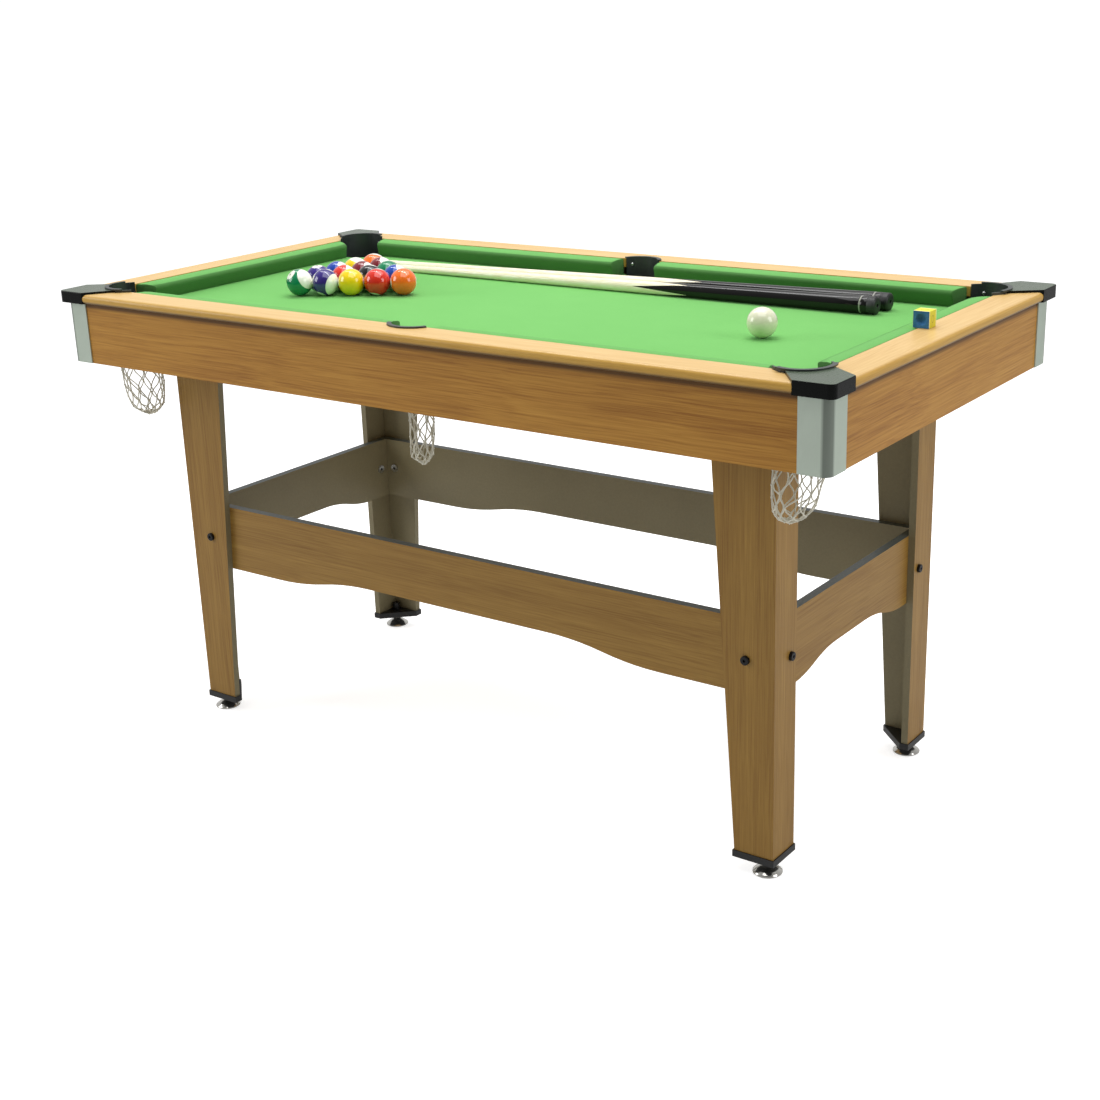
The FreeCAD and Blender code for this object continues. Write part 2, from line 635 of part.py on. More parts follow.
def glide(sign_x, sign_y):
    """A levelling glide: a domed disc, a locking collar against the cap and a stem in its bore."""
    disc, stem, collar = GLIDE_DISC_DIAMETER / 2, GLIDE_STEM_DIAMETER / 2, GLIDE_NUT_DIAMETER / 2
    collar_low = CAP_BOTTOM - GLIDE_NUT_HEIGHT
    points = (
        (0, 0), (disc - 2, 0), (disc, 1.5), (disc, GLIDE_DISC_HEIGHT - 2), (disc - 2, GLIDE_DISC_HEIGHT),
        (disc * 0.75, GLIDE_DISC_HEIGHT + 3), (disc * 0.45, GLIDE_DISC_HEIGHT + 7), (stem + 1, collar_low),
        (collar, collar_low), (collar, CAP_BOTTOM), (stem, CAP_BOTTOM), (stem, GLIDE_STEM_TOP),
        (0, GLIDE_STEM_TOP),
    )
    return [to_quadrant(revolve(points, GLIDE_CENTRE), sign_x, sign_y)]


def ball(centre):
    """A ball standing on the cloth."""
    radius = BALL_DIAMETER / 2
    return [Part.makeSphere(radius, vector(centre[0], centre[1], CLOTH_TOP + PLAY_GAP + radius))]


def racked_balls():
    """The fifteen object balls in a turned triangle, keyed by their numbers."""
    pitch = BALL_DIAMETER + PLAY_GAP
    turn = math.radians(RACK_TURN)
    balls = {}
    for row, numbers in enumerate(RACK_ROWS):
        for place, number in enumerate(numbers):
            along = (place - (len(numbers) - 1) / 2) * pitch
            back = row * pitch * math.sqrt(3) / 2
            x = RACK_BASE_CENTRE[0] + along * math.cos(turn) - back * math.sin(turn)
            y = RACK_BASE_CENTRE[1] + along * math.sin(turn) + back * math.cos(turn)
            balls[f"ball_{number:02d}"] = ball((x, y))
    return balls


def cue(name):
    """A tapered cue lying on the cloth, its butt towards +X: bumper, butt, shaft, ferrule and tip."""
    stations = (0, CUE_BUMPER_LENGTH, CUE_BUTT_LENGTH, CUE_LENGTH - CUE_FERRULE_LENGTH - CUE_TIP_LENGTH,
                CUE_LENGTH - CUE_TIP_LENGTH, CUE_LENGTH)
    slope = (CUE_BUTT_RADIUS - CUE_TIP_RADIUS) / CUE_LENGTH
    pieces = []
    for start, end in zip(stations, stations[1:]):
        radii = (CUE_BUTT_RADIUS - slope * start, CUE_BUTT_RADIUS - slope * end)
        pieces.append(Part.makeCone(*radii, end - start, vector(-start, 0, 0), vector(-1, 0, 0)))
    bumper = pieces[0]
    rim = [edge for edge in bumper.Edges if abs(edge.CenterOfMass.x) < 0.01]
    pieces[0] = bumper.makeFillet(2.5, rim)
    x, y = CUE_BUTT_ENDS[name]
    for piece in pieces:
        piece.rotate(ORIGIN, vector(0, 1, 0), -math.degrees(math.atan(slope)))
        piece.rotate(ORIGIN, Z_AXIS, CUE_TURN)
        piece.translate(vector(x, y, CLOTH_TOP + PLAY_GAP + CUE_BUTT_RADIUS))
    return pieces


def chalk():
    """A cube of chalk near the inner edge of the end rail, worn hollow on one side."""
    half = CHALK_SIDE / 2
    cube = box((-half, half), (-half, half), (0, CHALK_SIDE))
    centre = -half - CHALK_DIMPLE_RADIUS + CHALK_DIMPLE_DEPTH
    cube = cube.cut(Part.makeSphere(CHALK_DIMPLE_RADIUS, vector(0, centre, half)))
    cube.translate(vector(CHALK_CENTRE[0], CHALK_CENTRE[1], RAIL_TOP + PLAY_GAP))
    return [cube]


def model():
    """Every node of the table, as a name and its solids."""
    nodes = {
        "bed_board": bed_board(),
        "bed_cloth": bed_cloth(),
        "bed_supports": bed_supports(),
        "rail_backing": rail_backing(),
        "corner_castings": four_corners(corner_casting()),
        "corner_trims": corner_trims(),
        "corner_liners": corner_liners(),
        "side_liners": side_liners(),
        "liner_screws": liner_screws(),
        "side_net_front": side_net("front", -1),
        "side_net_rear": side_net("rear", 1),
        "leg_bolts": leg_bolts(),
        "leg_nuts": leg_nuts(),
        "foot_caps": foot_caps(),
        "ball_cue": ball(CUE_BALL_CENTRE),
        "chalk": chalk(),
    }
    for name, long_side, sign in (
        ("front", True, -1), ("rear", True, 1), ("left", False, -1), ("right", False, 1)
    ):
        nodes[f"apron_{name}"] = apron(long_side, sign)
        nodes[f"rail_{name}"] = rail(long_side, sign)
        nodes[f"stretcher_{name}"] = stretcher(long_side, sign)
        if not long_side:
            nodes[f"cushion_{name}"] = short_cushion(sign)
    for sign_x, sign_y in QUADRANTS:
        place = f"{'rear' if sign_y > 0 else 'front'}_{'right' if sign_x > 0 else 'left'}"
        nodes[f"cushion_{place}"] = long_cushion(sign_x, sign_y)
        nodes[f"leg_{place}"] = leg(sign_x, sign_y)
        nodes[f"glide_{place}"] = glide(sign_x, sign_y)
        nodes[f"corner_net_{place}"] = corner_net(place, sign_x, sign_y)
    nodes.update(racked_balls())
    for name in CUE_BUTT_ENDS:
        nodes[name] = cue(name)
    return nodes


def main():
    """Write one STEP file for each node."""
    os.makedirs("parts", exist_ok=True)
    for name, solids in model().items():
        shape = solids[0] if len(solids) == 1 else Part.makeCompound(solids)
        shape.exportStep(f"parts/{name}.step")


if __name__ == "__main__":
    main()
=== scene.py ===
"""Looks of a small household pool table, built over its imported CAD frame.

Boards, castings and fittings keep their CAD shapes and get detailed finishes.
Cloth, cushions, nets, balls, cues and chalk are modelled here as what they are.
"""

import logging
import math
import random
from dataclasses import dataclass, field
from enum import Enum
from typing import Iterable, Mapping, Sequence

import bmesh
import bpy
from mathutils import Euler, Matrix, Vector, noise


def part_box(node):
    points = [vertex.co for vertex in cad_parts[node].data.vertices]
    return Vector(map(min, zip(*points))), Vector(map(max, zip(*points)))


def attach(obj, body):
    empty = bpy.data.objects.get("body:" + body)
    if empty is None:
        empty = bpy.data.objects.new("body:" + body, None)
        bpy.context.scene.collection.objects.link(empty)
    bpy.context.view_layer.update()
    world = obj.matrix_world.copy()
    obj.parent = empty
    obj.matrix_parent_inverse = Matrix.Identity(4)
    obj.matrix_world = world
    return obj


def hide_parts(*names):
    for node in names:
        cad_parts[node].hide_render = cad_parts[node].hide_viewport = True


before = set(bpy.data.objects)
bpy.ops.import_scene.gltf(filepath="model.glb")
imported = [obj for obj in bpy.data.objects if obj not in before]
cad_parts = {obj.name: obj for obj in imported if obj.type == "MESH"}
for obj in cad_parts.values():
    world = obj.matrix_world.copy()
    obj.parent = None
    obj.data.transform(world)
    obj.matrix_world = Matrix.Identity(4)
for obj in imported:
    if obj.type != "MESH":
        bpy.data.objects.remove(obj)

LOG = logging.getLogger("pool_table")
MM = 0.001
TABLE = "table"

Colour = tuple[float, float, float]
Point = tuple[float, float, float]
PLAIN: Colour = (1.0, 1.0, 1.0)


class Axis(Enum):
    """Direction that a board's grain runs in."""

    X = 0
    Y = 1
    Z = 2


def tint(red: float, green: float, blue: float) -> Colour:
    """A linear colour from 0 to 255 screen values.

    Args:
        red: Red, 0 to 255.
        green: Green, 0 to 255.
        blue: Blue, 0 to 255.

    Returns:
        The linear colour.
    """

    def linear(value: float) -> float:
        """One channel, made linear."""
        value /= 255
        return value / 12.92 if value <= 0.04045 else ((value + 0.055) / 1.055) ** 2.4

    return linear(red), linear(green), linear(blue)


def lighter(colour: Colour, factor: float) -> Colour:
    """The colour times a factor, kept under 1."""
    return tuple(min(1.0, channel * factor) for channel in colour)


# ---------------------------------------------------------------- shader graph


@dataclass(frozen=True)
class Sock:
    """A shader socket that Python arithmetic can combine."""

    graph: "Graph"
    link: bpy.types.NodeSocket

    def __add__(self, other: "Sock | float") -> "Sock":
        """Sum."""
        return self.graph.math("ADD", self, other)

    def __sub__(self, other: "Sock | float") -> "Sock":
        """Difference."""
        return self.graph.math("SUBTRACT", self, other)

    def __rsub__(self, other: float) -> "Sock":
        """Difference from a number."""
        return self.graph.math("SUBTRACT", other, self)

    def __mul__(self, other: "Sock | float") -> "Sock":
        """Product."""
        return self.graph.math("MULTIPLY", self, other)

    def __truediv__(self, other: "Sock | float") -> "Sock":
        """Quotient."""
        return self.graph.math("DIVIDE", self, other)

    __radd__ = __add__
    __rmul__ = __mul__

    def above(self, edge: "Sock | float", soft: float) -> "Sock":
        """1 where this is above edge, 0 below, blended over soft.

        Args:
            edge: The value at the middle of the blend.
            soft: Width of the blend.

        Returns:
            The mask.
        """
        return self.graph.clamp((self - edge) * (1 / soft) + 0.5)

    def size(self) -> "Sock":
        """Absolute value."""
        return self.graph.math("ABSOLUTE", self)

    def most(self, other: "Sock | float") -> "Sock":
        """The larger of two values."""
        return self.graph.math("MAXIMUM", self, other)

    def least(self, other: "Sock | float") -> "Sock":
        """The smaller of two values."""
        return self.graph.math("MINIMUM", self, other)


class Graph:
    """The node tree of one material or world, filled by expressions."""

    def __init__(self, tree: bpy.types.NodeTree) -> None:
        """Empties the tree.

        Args:
            tree: The node tree to fill.
        """
        self.tree = tree
        tree.nodes.clear()

    def node(
        self,
        kind: str,
        settings: Mapping[str, object] | None = None,
        inputs: Mapping[str | int, object] | None = None,
        output: str | int = 0,
    ) -> Sock:
        """Makes one node.

        Args:
            kind: The node's type, such as ShaderNodeMath.
            settings: Properties set first, such as operation, or stops for a ramp.
            inputs: Values or links of the sockets, by name or index.
            output: The socket to return.

        Returns:
            The chosen output.
        """
        made = self.tree.nodes.new(kind)
        for name, value in (settings or {}).items():
            if name == "stops":
                ramp = made.color_ramp
                while len(ramp.elements) < len(value):
                    ramp.elements.new(0.5)
                for element, (place, colour) in zip(ramp.elements, value):
                    element.position = place
                    element.color = (*colour, 1)
            else:
                setattr(made, name, value)
        for name, value in (inputs or {}).items():
            socket = made.inputs[name]
            if isinstance(value, Sock):
                self.tree.links.new(value.link, socket)
            elif socket.type == "RGBA" and len(value) == 3:
                socket.default_value = (*value, 1)
            else:
                socket.default_value = value
        if not made.outputs:
            return None
        return Sock(self, made.outputs[output])

    def math(self, operation: str, *values: "Sock | float") -> Sock:
        """One Math node on sockets or numbers."""
        return self.node("ShaderNodeMath", {"operation": operation}, dict(enumerate(values)))

    def clamp(self, value: Sock) -> Sock:
        """The value held between 0 and 1."""
        settings = {"operation": "ADD", "use_clamp": True}
        return self.node("ShaderNodeMath", settings, {0: value, 1: 0.0})

    def mix(self, mask: "Sock | float", low: "Sock | Colour", high: "Sock | Colour") -> Sock:
        """A blend of two colours.

        Args:
            mask: 0 for low, 1 for high.
            low: First colour.
            high: Second colour.

        Returns:
            The blended colour.
        """
        return self.node("ShaderNodeMix", {"data_type": "RGBA"}, {0: mask, 6: low, 7: high}, 2)

    def place(self, scale: Point = (1, 1, 1), centre: Point | None = None, turn: Point = (0, 0, 0)) -> Sock:
        """Object coordinates, scaled, or seen from a piece's own centre and turn.

        Args:
            scale: Factor on each axis.
            centre: The piece's centre, for coordinates that follow it.
            turn: The piece's Euler turn, with centre.

        Returns:
            The coordinates.
        """
        raw = self.node("ShaderNodeTexCoord", output="Object")
        if centre is None:
            return self.node("ShaderNodeMapping", inputs={"Vector": raw, "Scale": scale})
        settings = {"vector_type": "TEXTURE"}
        values = {"Vector": raw, "Location": centre, "Rotation": turn, "Scale": scale}
        return self.node("ShaderNodeMapping", settings, values)

    def split(self, vector: Sock) -> tuple[Sock, Sock, Sock]:
        """The three parts of a vector."""
        first = self.node("ShaderNodeSeparateXYZ", inputs={"Vector": vector})
        outputs = first.link.node.outputs
        return tuple(Sock(self, outputs[index]) for index in range(3))

    def facing(self) -> tuple[Sock, Sock, Sock]:
        """The three parts of the surface's own normal."""
        return self.split(self.node("ShaderNodeTexCoord", output="Normal"))

    def noise(
        self, vector: Sock, scale: float, detail: float = 2, rough: float = 0.5, warp: float = 0
    ) -> Sock:
        """Smooth noise from 0 to 1.

        Args:
            vector: Coordinates.
            scale: Cells per unit.
            detail: Octaves.
            rough: Strength of the finer octaves.
            warp: Distortion.

        Returns:
            The noise value.
        """
        values = {"Vector": vector, "Scale": scale, "Detail": detail, "Roughness": rough, "Distortion": warp}
        return self.node("ShaderNodeTexNoise", inputs=values)

    def bump(self, height: Sock, depth: float, strength: float = 1) -> Sock:
        """A normal bent by a height.

        Args:
            height: Height from 0 to 1.
            depth: Depth in metres of a height of 1.
            strength: Overall strength.

        Returns:
            The normal.
        """
        return self.node("ShaderNodeBump", inputs={"Height": height, "Distance": depth, "Strength": strength})

    def finish(self, inputs: Mapping[str, object]) -> None:
        """Ends a material in one Principled shader.

        Args:
            inputs: Values and links of the shader's sockets.
        """
        shader = self.node("ShaderNodeBsdfPrincipled", inputs=inputs)
        self.node("ShaderNodeOutputMaterial", inputs={"Surface": shader})


def fresh(name: str) -> tuple[bpy.types.Material, Graph]:
    """A new material and its empty graph."""
    material = bpy.data.materials.new(name)
    material.use_nodes = True
    return material, Graph(material.node_tree)


# ---------------------------------------------------------------- finishes


@dataclass(frozen=True)
class Laminate:
    """Printed oak foil on board, with a plain back and a dull edge band, and where asked painted shade on its
    upright and downward faces and under a rail.
    """

    light: Colour
    mid: Colour
    dark: Colour
    back: Colour = tint(138, 129, 100)
    edge: Colour = tint(96, 104, 104)
    side: Colour = PLAIN  # painted shade: what the upright faces are multiplied by; downward faces are then painted near black
    shaded_from: float = 0.0  # height that the shade under a rail starts at, or 0 for none
    shade_depth: float = 6 * MM
    gloss: float = 0.42
    shine: float = 0.3
    fine: float = 400.0
    broad: float = 34.0
    pore: float = 900.0
    draw: float = 0.02  # scale of the figure along the grain
    wander: float = 0.008

    def material(
        self, name: str, grain: Axis, inner: tuple[float, float] = (0, 0), edge_up: bool = False
    ) -> bpy.types.Material:
        """The finish with its grain along one axis.

        Args:
            name: Material name.
            grain: Axis the grain runs along.
            inner: Signs in x and y of the side faces that carry the plain back.
            edge_up: Whether upward edges carry the dull edge band.

        Returns:
            The material.
        """
        material, graph = fresh(name)
        along = grain.value
        stretch = [1.0, 1.0, 1.0]
        stretch[along] = self.draw
        drift = graph.noise(graph.place(), 3.2, 2)
        base = graph.place(tuple(stretch))
        shift = graph.node("ShaderNodeCombineXYZ", inputs={i: drift * self.wander for i in range(3)})
        shifted = graph.node("ShaderNodeVectorMath", {"operation": "ADD"}, {0: base, 1: shift})
        fine = graph.noise(shifted, self.fine, 5, 0.62)
        broad = graph.noise(shifted, self.broad, 3, 0.55, 0.3)
        stretch[along] *= 0.6
        pores = graph.noise(graph.place(tuple(stretch)), self.pore, 1)
        figure = graph.clamp((fine - 0.5) * 1.5 + (broad - 0.5) * 0.6 + (drift - 0.5) * 0.4 + 0.5)
        stops = ((0.12, self.dark), (0.5, self.mid), (0.88, self.light))
        colour = graph.node("ShaderNodeValToRGB", {"stops": stops}, {"Fac": figure})
        pore_mask = pores.above(0.66, 0.06) * 0.35
        colour = graph.mix(pore_mask, colour, self.dark)
        nx, ny, nz = graph.facing()
        # painted shade: upright faces multiplied by the side colour, for light that falls from above
        if self.side != PLAIN:
            painted_side_shade = graph.node(
                "ShaderNodeMix",
                {"data_type": "RGBA", "blend_type": "MULTIPLY"},
                {0: 1.0, 6: colour, 7: (*self.side, 1)},
                2,
            )
            colour = graph.mix(nz.above(0.8, 0.16), painted_side_shade, colour)
            # painted shade: downward faces painted near black
            colour = graph.mix(nz.above(-0.4, 0.5), lighter(self.dark, 0.25), colour)
        if inner != (0, 0):
            facing_in = (nx * inner[0]).most(ny * inner[1])
            speck = graph.noise(graph.place(), 240, 4, 0.7)
            cloud = graph.noise(graph.place(), 7, 2)
            plain = graph.mix(speck * 0.5 + cloud * 0.35, lighter(self.back, 0.72), lighter(self.back, 1.35))
            colour = graph.mix(facing_in.above(0.7, 0.1), colour, plain)
        if edge_up:
            speck = graph.noise(graph.place(), 300, 3)
            band = graph.mix(speck, lighter(self.edge, 0.75), lighter(self.edge, 1.3))
            colour = graph.mix(nz.above(0.7, 0.1), colour, band)
        if self.shaded_from:
            height = graph.split(graph.place())[2]
            shade = height.above(self.shaded_from, self.shade_depth) * 0.9
            colour = graph.mix(shade, colour, lighter(self.dark, 0.3))
        graph.finish(
            {
                "Base Color": colour,
                "Specular IOR Level": self.shine,
                "Roughness": figure * -0.08 + (self.gloss + 0.04),
                "Normal": graph.bump(fine + pores * 0.5, 0.00012, 0.35),
            }
        )
        return material


@dataclass(frozen=True)
class Felt:
    """Napped billiard cloth."""

    light: Colour = tint(124, 190, 106)
    deep: Colour = tint(97, 167, 83)
    nap: float = 0.00025
    # painted shade: colour factor on the cushions' upright sides
    sides: float = 0.4

    def material(self, name: str, upright: bool = False) -> bpy.types.Material:
        """The cloth as a material, with its upright sides painted deeper as painted shade where wanted."""
        material, graph = fresh(name)
        place = graph.place()
        fuzz = graph.noise(place, 1500, 3, 0.7)
        weave = graph.noise(graph.place((1, 0.35, 1)), 700, 2, 0.6)
        cloud = graph.noise(place, 5, 3, 0.55)
        worn = graph.noise(graph.place((0.5, 1, 1)), 42, 2)
        shade = graph.clamp(fuzz * 0.45 + weave * 0.25 + cloud * 0.35 + worn * 0.15 - 0.1)
        colour = graph.mix(shade, self.deep, self.light)
        if upright:
            # painted shade: the cushions' upright sides at the sides factor of the cloth's colour; their tops
            # at 0.86
            low = graph.mix(shade, lighter(self.deep, self.sides), lighter(self.light, self.sides))
            top = graph.mix(shade, lighter(self.deep, 0.86), lighter(self.light, 0.86))
            colour = graph.mix(graph.facing()[2].above(0.94, 0.08), low, top)
        graph.finish(
            {
                "Base Color": colour,
                "Roughness": fuzz * 0.1 + 0.86,
                "Sheen Weight": 0.35,
                "Sheen Roughness": 0.45,
                "Sheen Tint": (*tint(170, 240, 160), 1),
                "Specular IOR Level": 0.15,
                "Normal": graph.bump(fuzz + weave * 0.6, self.nap, 0.6),
            }
        )
        return material


@dataclass(frozen=True)
class Moulded:
    """Moulded plastic or rubber with a fine spark texture and pale scuffs, and where given a painted
    reflection that lightens its upward faces.
    """

    colour: Colour
    gloss: float = 0.38
    grain: float = 1100.0
    depth: float = 0.00006
    scuff: float = 0.25
    shine: float = 0.5
    # painted reflection: colour of the upward faces, standing in for the overhead light's sheen, or None
    top: Colour | None = None

    def material(self, name: str) -> bpy.types.Material:
        """The plastic as a material."""
        material, graph = fresh(name)
        place = graph.place()
        spark = graph.noise(place, self.grain, 2, 0.6)
        cloud = graph.noise(place, 28, 4, 0.6)
        marks = graph.noise(graph.place((1, 0.2, 1)), 260, 3, 0.7).above(0.62, 0.12)
        tone = graph.clamp(cloud * 0.6 + marks * self.scuff)
        colour = graph.mix(tone, lighter(self.colour, 0.75), lighter(self.colour, 1.7))
        # painted reflection: upward faces take the lighter top colour
        if self.top is not None:
            painted_top_sheen = graph.mix(tone, lighter(self.top, 0.7), lighter(self.top, 1.3))
            colour = graph.mix(graph.facing()[2].above(0.9, 0.08), colour, painted_top_sheen)
        graph.finish(
            {
                "Base Color": colour,
                "Specular IOR Level": self.shine,
                "Roughness": graph.clamp(cloud * 0.18 + marks * 0.12 + (self.gloss - 0.08)),
                "Normal": graph.bump(spark, self.depth, 0.7),
            }
        )
        return material


@dataclass(frozen=True)
class Metal:
    """Bare, plated or blackened metal, brushed along one axis, with a painted reflection darkening its bends
    where asked.
    """

    colour: Colour
    gloss: float = 0.3
    brush: Point = (1.0, 1.0, 0.05)
    brushed: float = 0.12
    metallic: float = 1.0
    depth: float = 0.00002
    # painted reflection: colour factor on faces turned between x and y, the dark bend of a trim
    bend: float = 1.0

    def material(self, name: str) -> bpy.types.Material:
        """The metal as a material."""
        material, graph = fresh(name)
        lines = graph.noise(graph.place(self.brush), 1400, 2, 0.6)
        smear = graph.noise(graph.place(), 18, 4, 0.6)
        colour = graph.mix(smear * 0.6 + lines * 0.4, lighter(self.colour, 0.85), lighter(self.colour, 1.15))
        if self.bend != 1.0:
            # painted reflection: the bend darkened where it would mirror the dark side of the surround
            nx, ny, _ = graph.facing()
            turned = (nx.size() * ny.size() * 2.0).above(0.3, 0.5)
            colour = graph.mix(turned, colour, lighter(self.colour, self.bend))
        graph.finish(
            {
                "Base Color": colour,
                "Metallic": self.metallic,
                "Roughness": graph.clamp(lines * self.brushed + smear * 0.1 + (self.gloss - 0.08)),
                "Normal": graph.bump(lines, self.depth, 0.5),
            }
        )
        return material


@dataclass(frozen=True)
class BareBoard:
    """Raw chipboard or softwood under the bed."""

    light: Colour = tint(196, 168, 124)
    dark: Colour = tint(140, 112, 76)

    def material(self, name: str) -> bpy.types.Material:
        """The board as a material."""
        material, graph = fresh(name)
        place = graph.place((0.6, 1, 1))
        chips = graph.node("ShaderNodeTexVoronoi", {}, {"Vector": place, "Scale": 320.0}, "Color")
        flake = graph.node("ShaderNodeSeparateColor", inputs={"Color": chips})
        dust = graph.noise(place, 600, 3, 0.7)
        tone = graph.clamp(flake * 0.6 + dust * 0.4)
        graph.finish(
            {
                "Base Color": graph.mix(tone, self.dark, self.light),
                "Roughness": dust * 0.1 + 0.8,
                "Normal": graph.bump(flake + dust, 0.0002, 0.5),
            }
        )
        return material


@dataclass(frozen=True)
class Twine:
    """Twisted off-white net cord."""

    light: Colour = tint(246, 244, 230)
    dark: Colour = tint(198, 194, 172)

    def material(self, name: str) -> bpy.types.Material:
        """The cord as a material."""
        material, graph = fresh(name)
        place = graph.place()
        twist = graph.node(
            "ShaderNodeTexWave",
            {"wave_type": "BANDS", "bands_direction": "DIAGONAL"},
            {"Vector": place, "Scale": 260.0, "Distortion": 1.5, "Detail": 1.0},
        )
        lint = graph.noise(place, 900, 3, 0.7)
        soil = graph.noise(place, 60, 2)
        tone = graph.clamp(twist * 0.4 + lint * 0.3 + soil * 0.35)
        graph.finish(
            {
                "Base Color": graph.mix(tone, self.dark, self.light),
                "Roughness": lint * 0.1 + 0.8,
                "Normal": graph.bump(twist + lint * 0.5, 0.0003, 0.6),
            }
        )
        return material


@dataclass(frozen=True)
class Resin:
    """Polished ball resin: a full colour or a band, and two pale discs for the numeral."""

    colour: Colour
    banded: bool = False
    numbered: bool = True
    white: Colour = tint(252, 250, 238)
    band: float = 0.6
    disc: float = 0.91

    def material(self, name: str, centre: Vector, turn: Euler, radius: float) -> bpy.types.Material:
        """The resin for one ball.

        Args:
            name: Material name.
            centre: Ball centre.
            turn: Turn whose z axis is the band's axis and x axis a number disc's.
            radius: Ball radius.

        Returns:
            The material.
        """
        material, graph = fresh(name)
        across, _, pole = graph.split(graph.place((radius,) * 3, tuple(centre), tuple(turn)))
        cloud = graph.noise(graph.place(), 70, 3, 0.6)
        body = graph.mix(cloud, lighter(self.colour, 0.9), lighter(self.colour, 1.06))
        pale = graph.mix(cloud, lighter(self.white, 0.94), self.white)
        mask = None
        if self.banded:
            mask = pole.size().above(self.band, 0.02)
        if self.numbered:
            disc = across.size().above(self.disc, 0.008)
            mask = disc if mask is None else mask.most(disc)
        colour = body if mask is None else graph.mix(mask, body, pale)
        haze = graph.noise(graph.place(), 260, 3, 0.7)
        graph.finish(
            {
                "Base Color": colour,
                "Roughness": haze * 0.06 + 0.05,
                "Specular IOR Level": 0.5,
                "Coat Weight": 0.6,
                "Coat Roughness": 0.04,
                "Normal": graph.bump(haze, 0.00001, 0.3),
            }
        )
        return material


@dataclass(frozen=True)
class CueLacquer:
    """A lacquered cue: pale shaft spliced in points into a black butt with a pale ring."""

    pale: Colour = tint(250, 244, 222)
    grain: Colour = tint(232, 214, 172)
    black: Colour = tint(9, 8, 8)
    ring: Colour = tint(150, 150, 140)
    splice_start: float = 0.345
    splice_length: float = 0.11
    points: int = 4
    ring_place: float = 0.026
    ring_width: float = 0.0012

    def material(self, name: str, butt: Vector, turn: Euler) -> bpy.types.Material:
        """The lacquer for one cue.

        Args:
            name: Material name.
            butt: Centre of the butt end.
            turn: Turn whose x axis runs from tip to butt.

        Returns:
            The material.
        """
        material, graph = fresh(name)
        local = graph.place((1, 1, 1), tuple(butt), tuple(turn))
        x, y, z = graph.split(local)
        back = x * -1.0
        angle = graph.math("ARCTAN2", z, y) * (self.points / (2 * math.pi))
        wave = (graph.math("FRACT", angle + 8.15) - 0.5).size() * 2.0
        edge = wave * self.splice_length + self.splice_start
        pale_side = back.above(edge, 0.0012)
        stretch = graph.node("ShaderNodeMapping", inputs={"Vector": local, "Scale": (0.04, 1.0, 1.0)})
        lines = graph.noise(stretch, 900, 4, 0.6)
        wood = graph.mix(lines.above(0.55, 0.3), self.pale, self.grain)
        dark = graph.mix(lines, self.black, lighter(self.black, 1.8))
        colour = graph.mix(pale_side, dark, wood)
        near = (back - self.ring_place).size()
        colour = graph.mix(1.0 - near.above(self.ring_width, 0.0004), colour, self.ring)
        graph.finish(
            {
                "Base Color": colour,
                "Roughness": lines * 0.06 + pale_side * 0.12 + 0.06,
                "Specular IOR Level": 0.2,
                "Coat Weight": 0.35,
                "Coat Roughness": 0.04,
                "Normal": graph.bump(lines, 0.00002, 0.2),
            }
        )
        return material


@dataclass(frozen=True)
class ChalkDust:
    """Pressed blue chalk, paler where it is worn."""

    deep: Colour = tint(14, 74, 128)
    worn: Colour = tint(84, 152, 206)

    def material(self, name: str) -> bpy.types.Material:
        """The chalk as a material."""
        material, graph = fresh(name)
        place = graph.place()
        grit = graph.noise(place, 1600, 4, 0.75)
        patch = graph.noise(place, 160, 3, 0.6)
        graph.finish(
            {
                "Base Color": graph.mix(graph.clamp(grit * 0.5 + patch * 0.7 - 0.15), self.deep, self.worn),
                "Roughness": grit * 0.08 + 0.9,
                "Normal": graph.bump(grit, 0.0004, 0.8),
            }
        )
        return material


@dataclass(frozen=True)
class LabelPaper:
    """Yellow printed paper with a pale border and a soft oval."""

    yellow: Colour = tint(232, 222, 60)
    border: Colour = tint(244, 240, 176)
    print_tone: Colour = tint(140, 132, 44)

    def material(self, name: str, centre: Vector, turn: Euler, half: float) -> bpy.types.Material:
        """The label round one cube.

        Args:
            name: Material name.
            centre: Cube centre.
            turn: Cube turn.
            half: Half of the cube's side.

        Returns:
            The material.
        """
        material, graph = fresh(name)
        x, y, z = graph.split(graph.place((half,) * 3, tuple(centre), tuple(turn)))
        fibre = graph.noise(graph.place(), 900, 3, 0.7)
        base = graph.mix(fibre, lighter(self.yellow, 0.86), self.yellow)
        rim = y.size().above(0.82, 0.04)
        colour = graph.mix(rim, base, self.border)
        side = x.size().least(z.size())
        oval = graph.math("SQRT", side * side * 2.2 + y * y * 5.0)
        mark = (1.0 - (oval - 0.62).size().above(0.09, 0.05)) * 0.55
        colour = graph.mix(mark, colour, self.print_tone)
        graph.finish(
            {
                "Base Color": colour,
                "Roughness": fibre * 0.1 + 0.55,
                "Normal": graph.bump(fibre, 0.00006, 0.4),
            }
        )
        return material


# side: painted shade on the rail's upright bullnose, whose underside is also painted near black
OAK_RAIL = Laminate(
    light=tint(224, 190, 128), mid=tint(214, 177, 112), dark=tint(202, 162, 98), side=(0.86, 0.76, 0.4),
    fine=420, gloss=0.36,
)
OAK_CABINET = Laminate(
    light=tint(200, 148, 64), mid=tint(183, 130, 52), dark=tint(150, 98, 34), shaded_from=778 * MM,
)
OAK_LEG = Laminate(light=tint(172, 134, 64), mid=tint(156, 118, 54), dark=tint(136, 98, 42))
FELT = Felt()


# ---------------------------------------------------------------- pieces


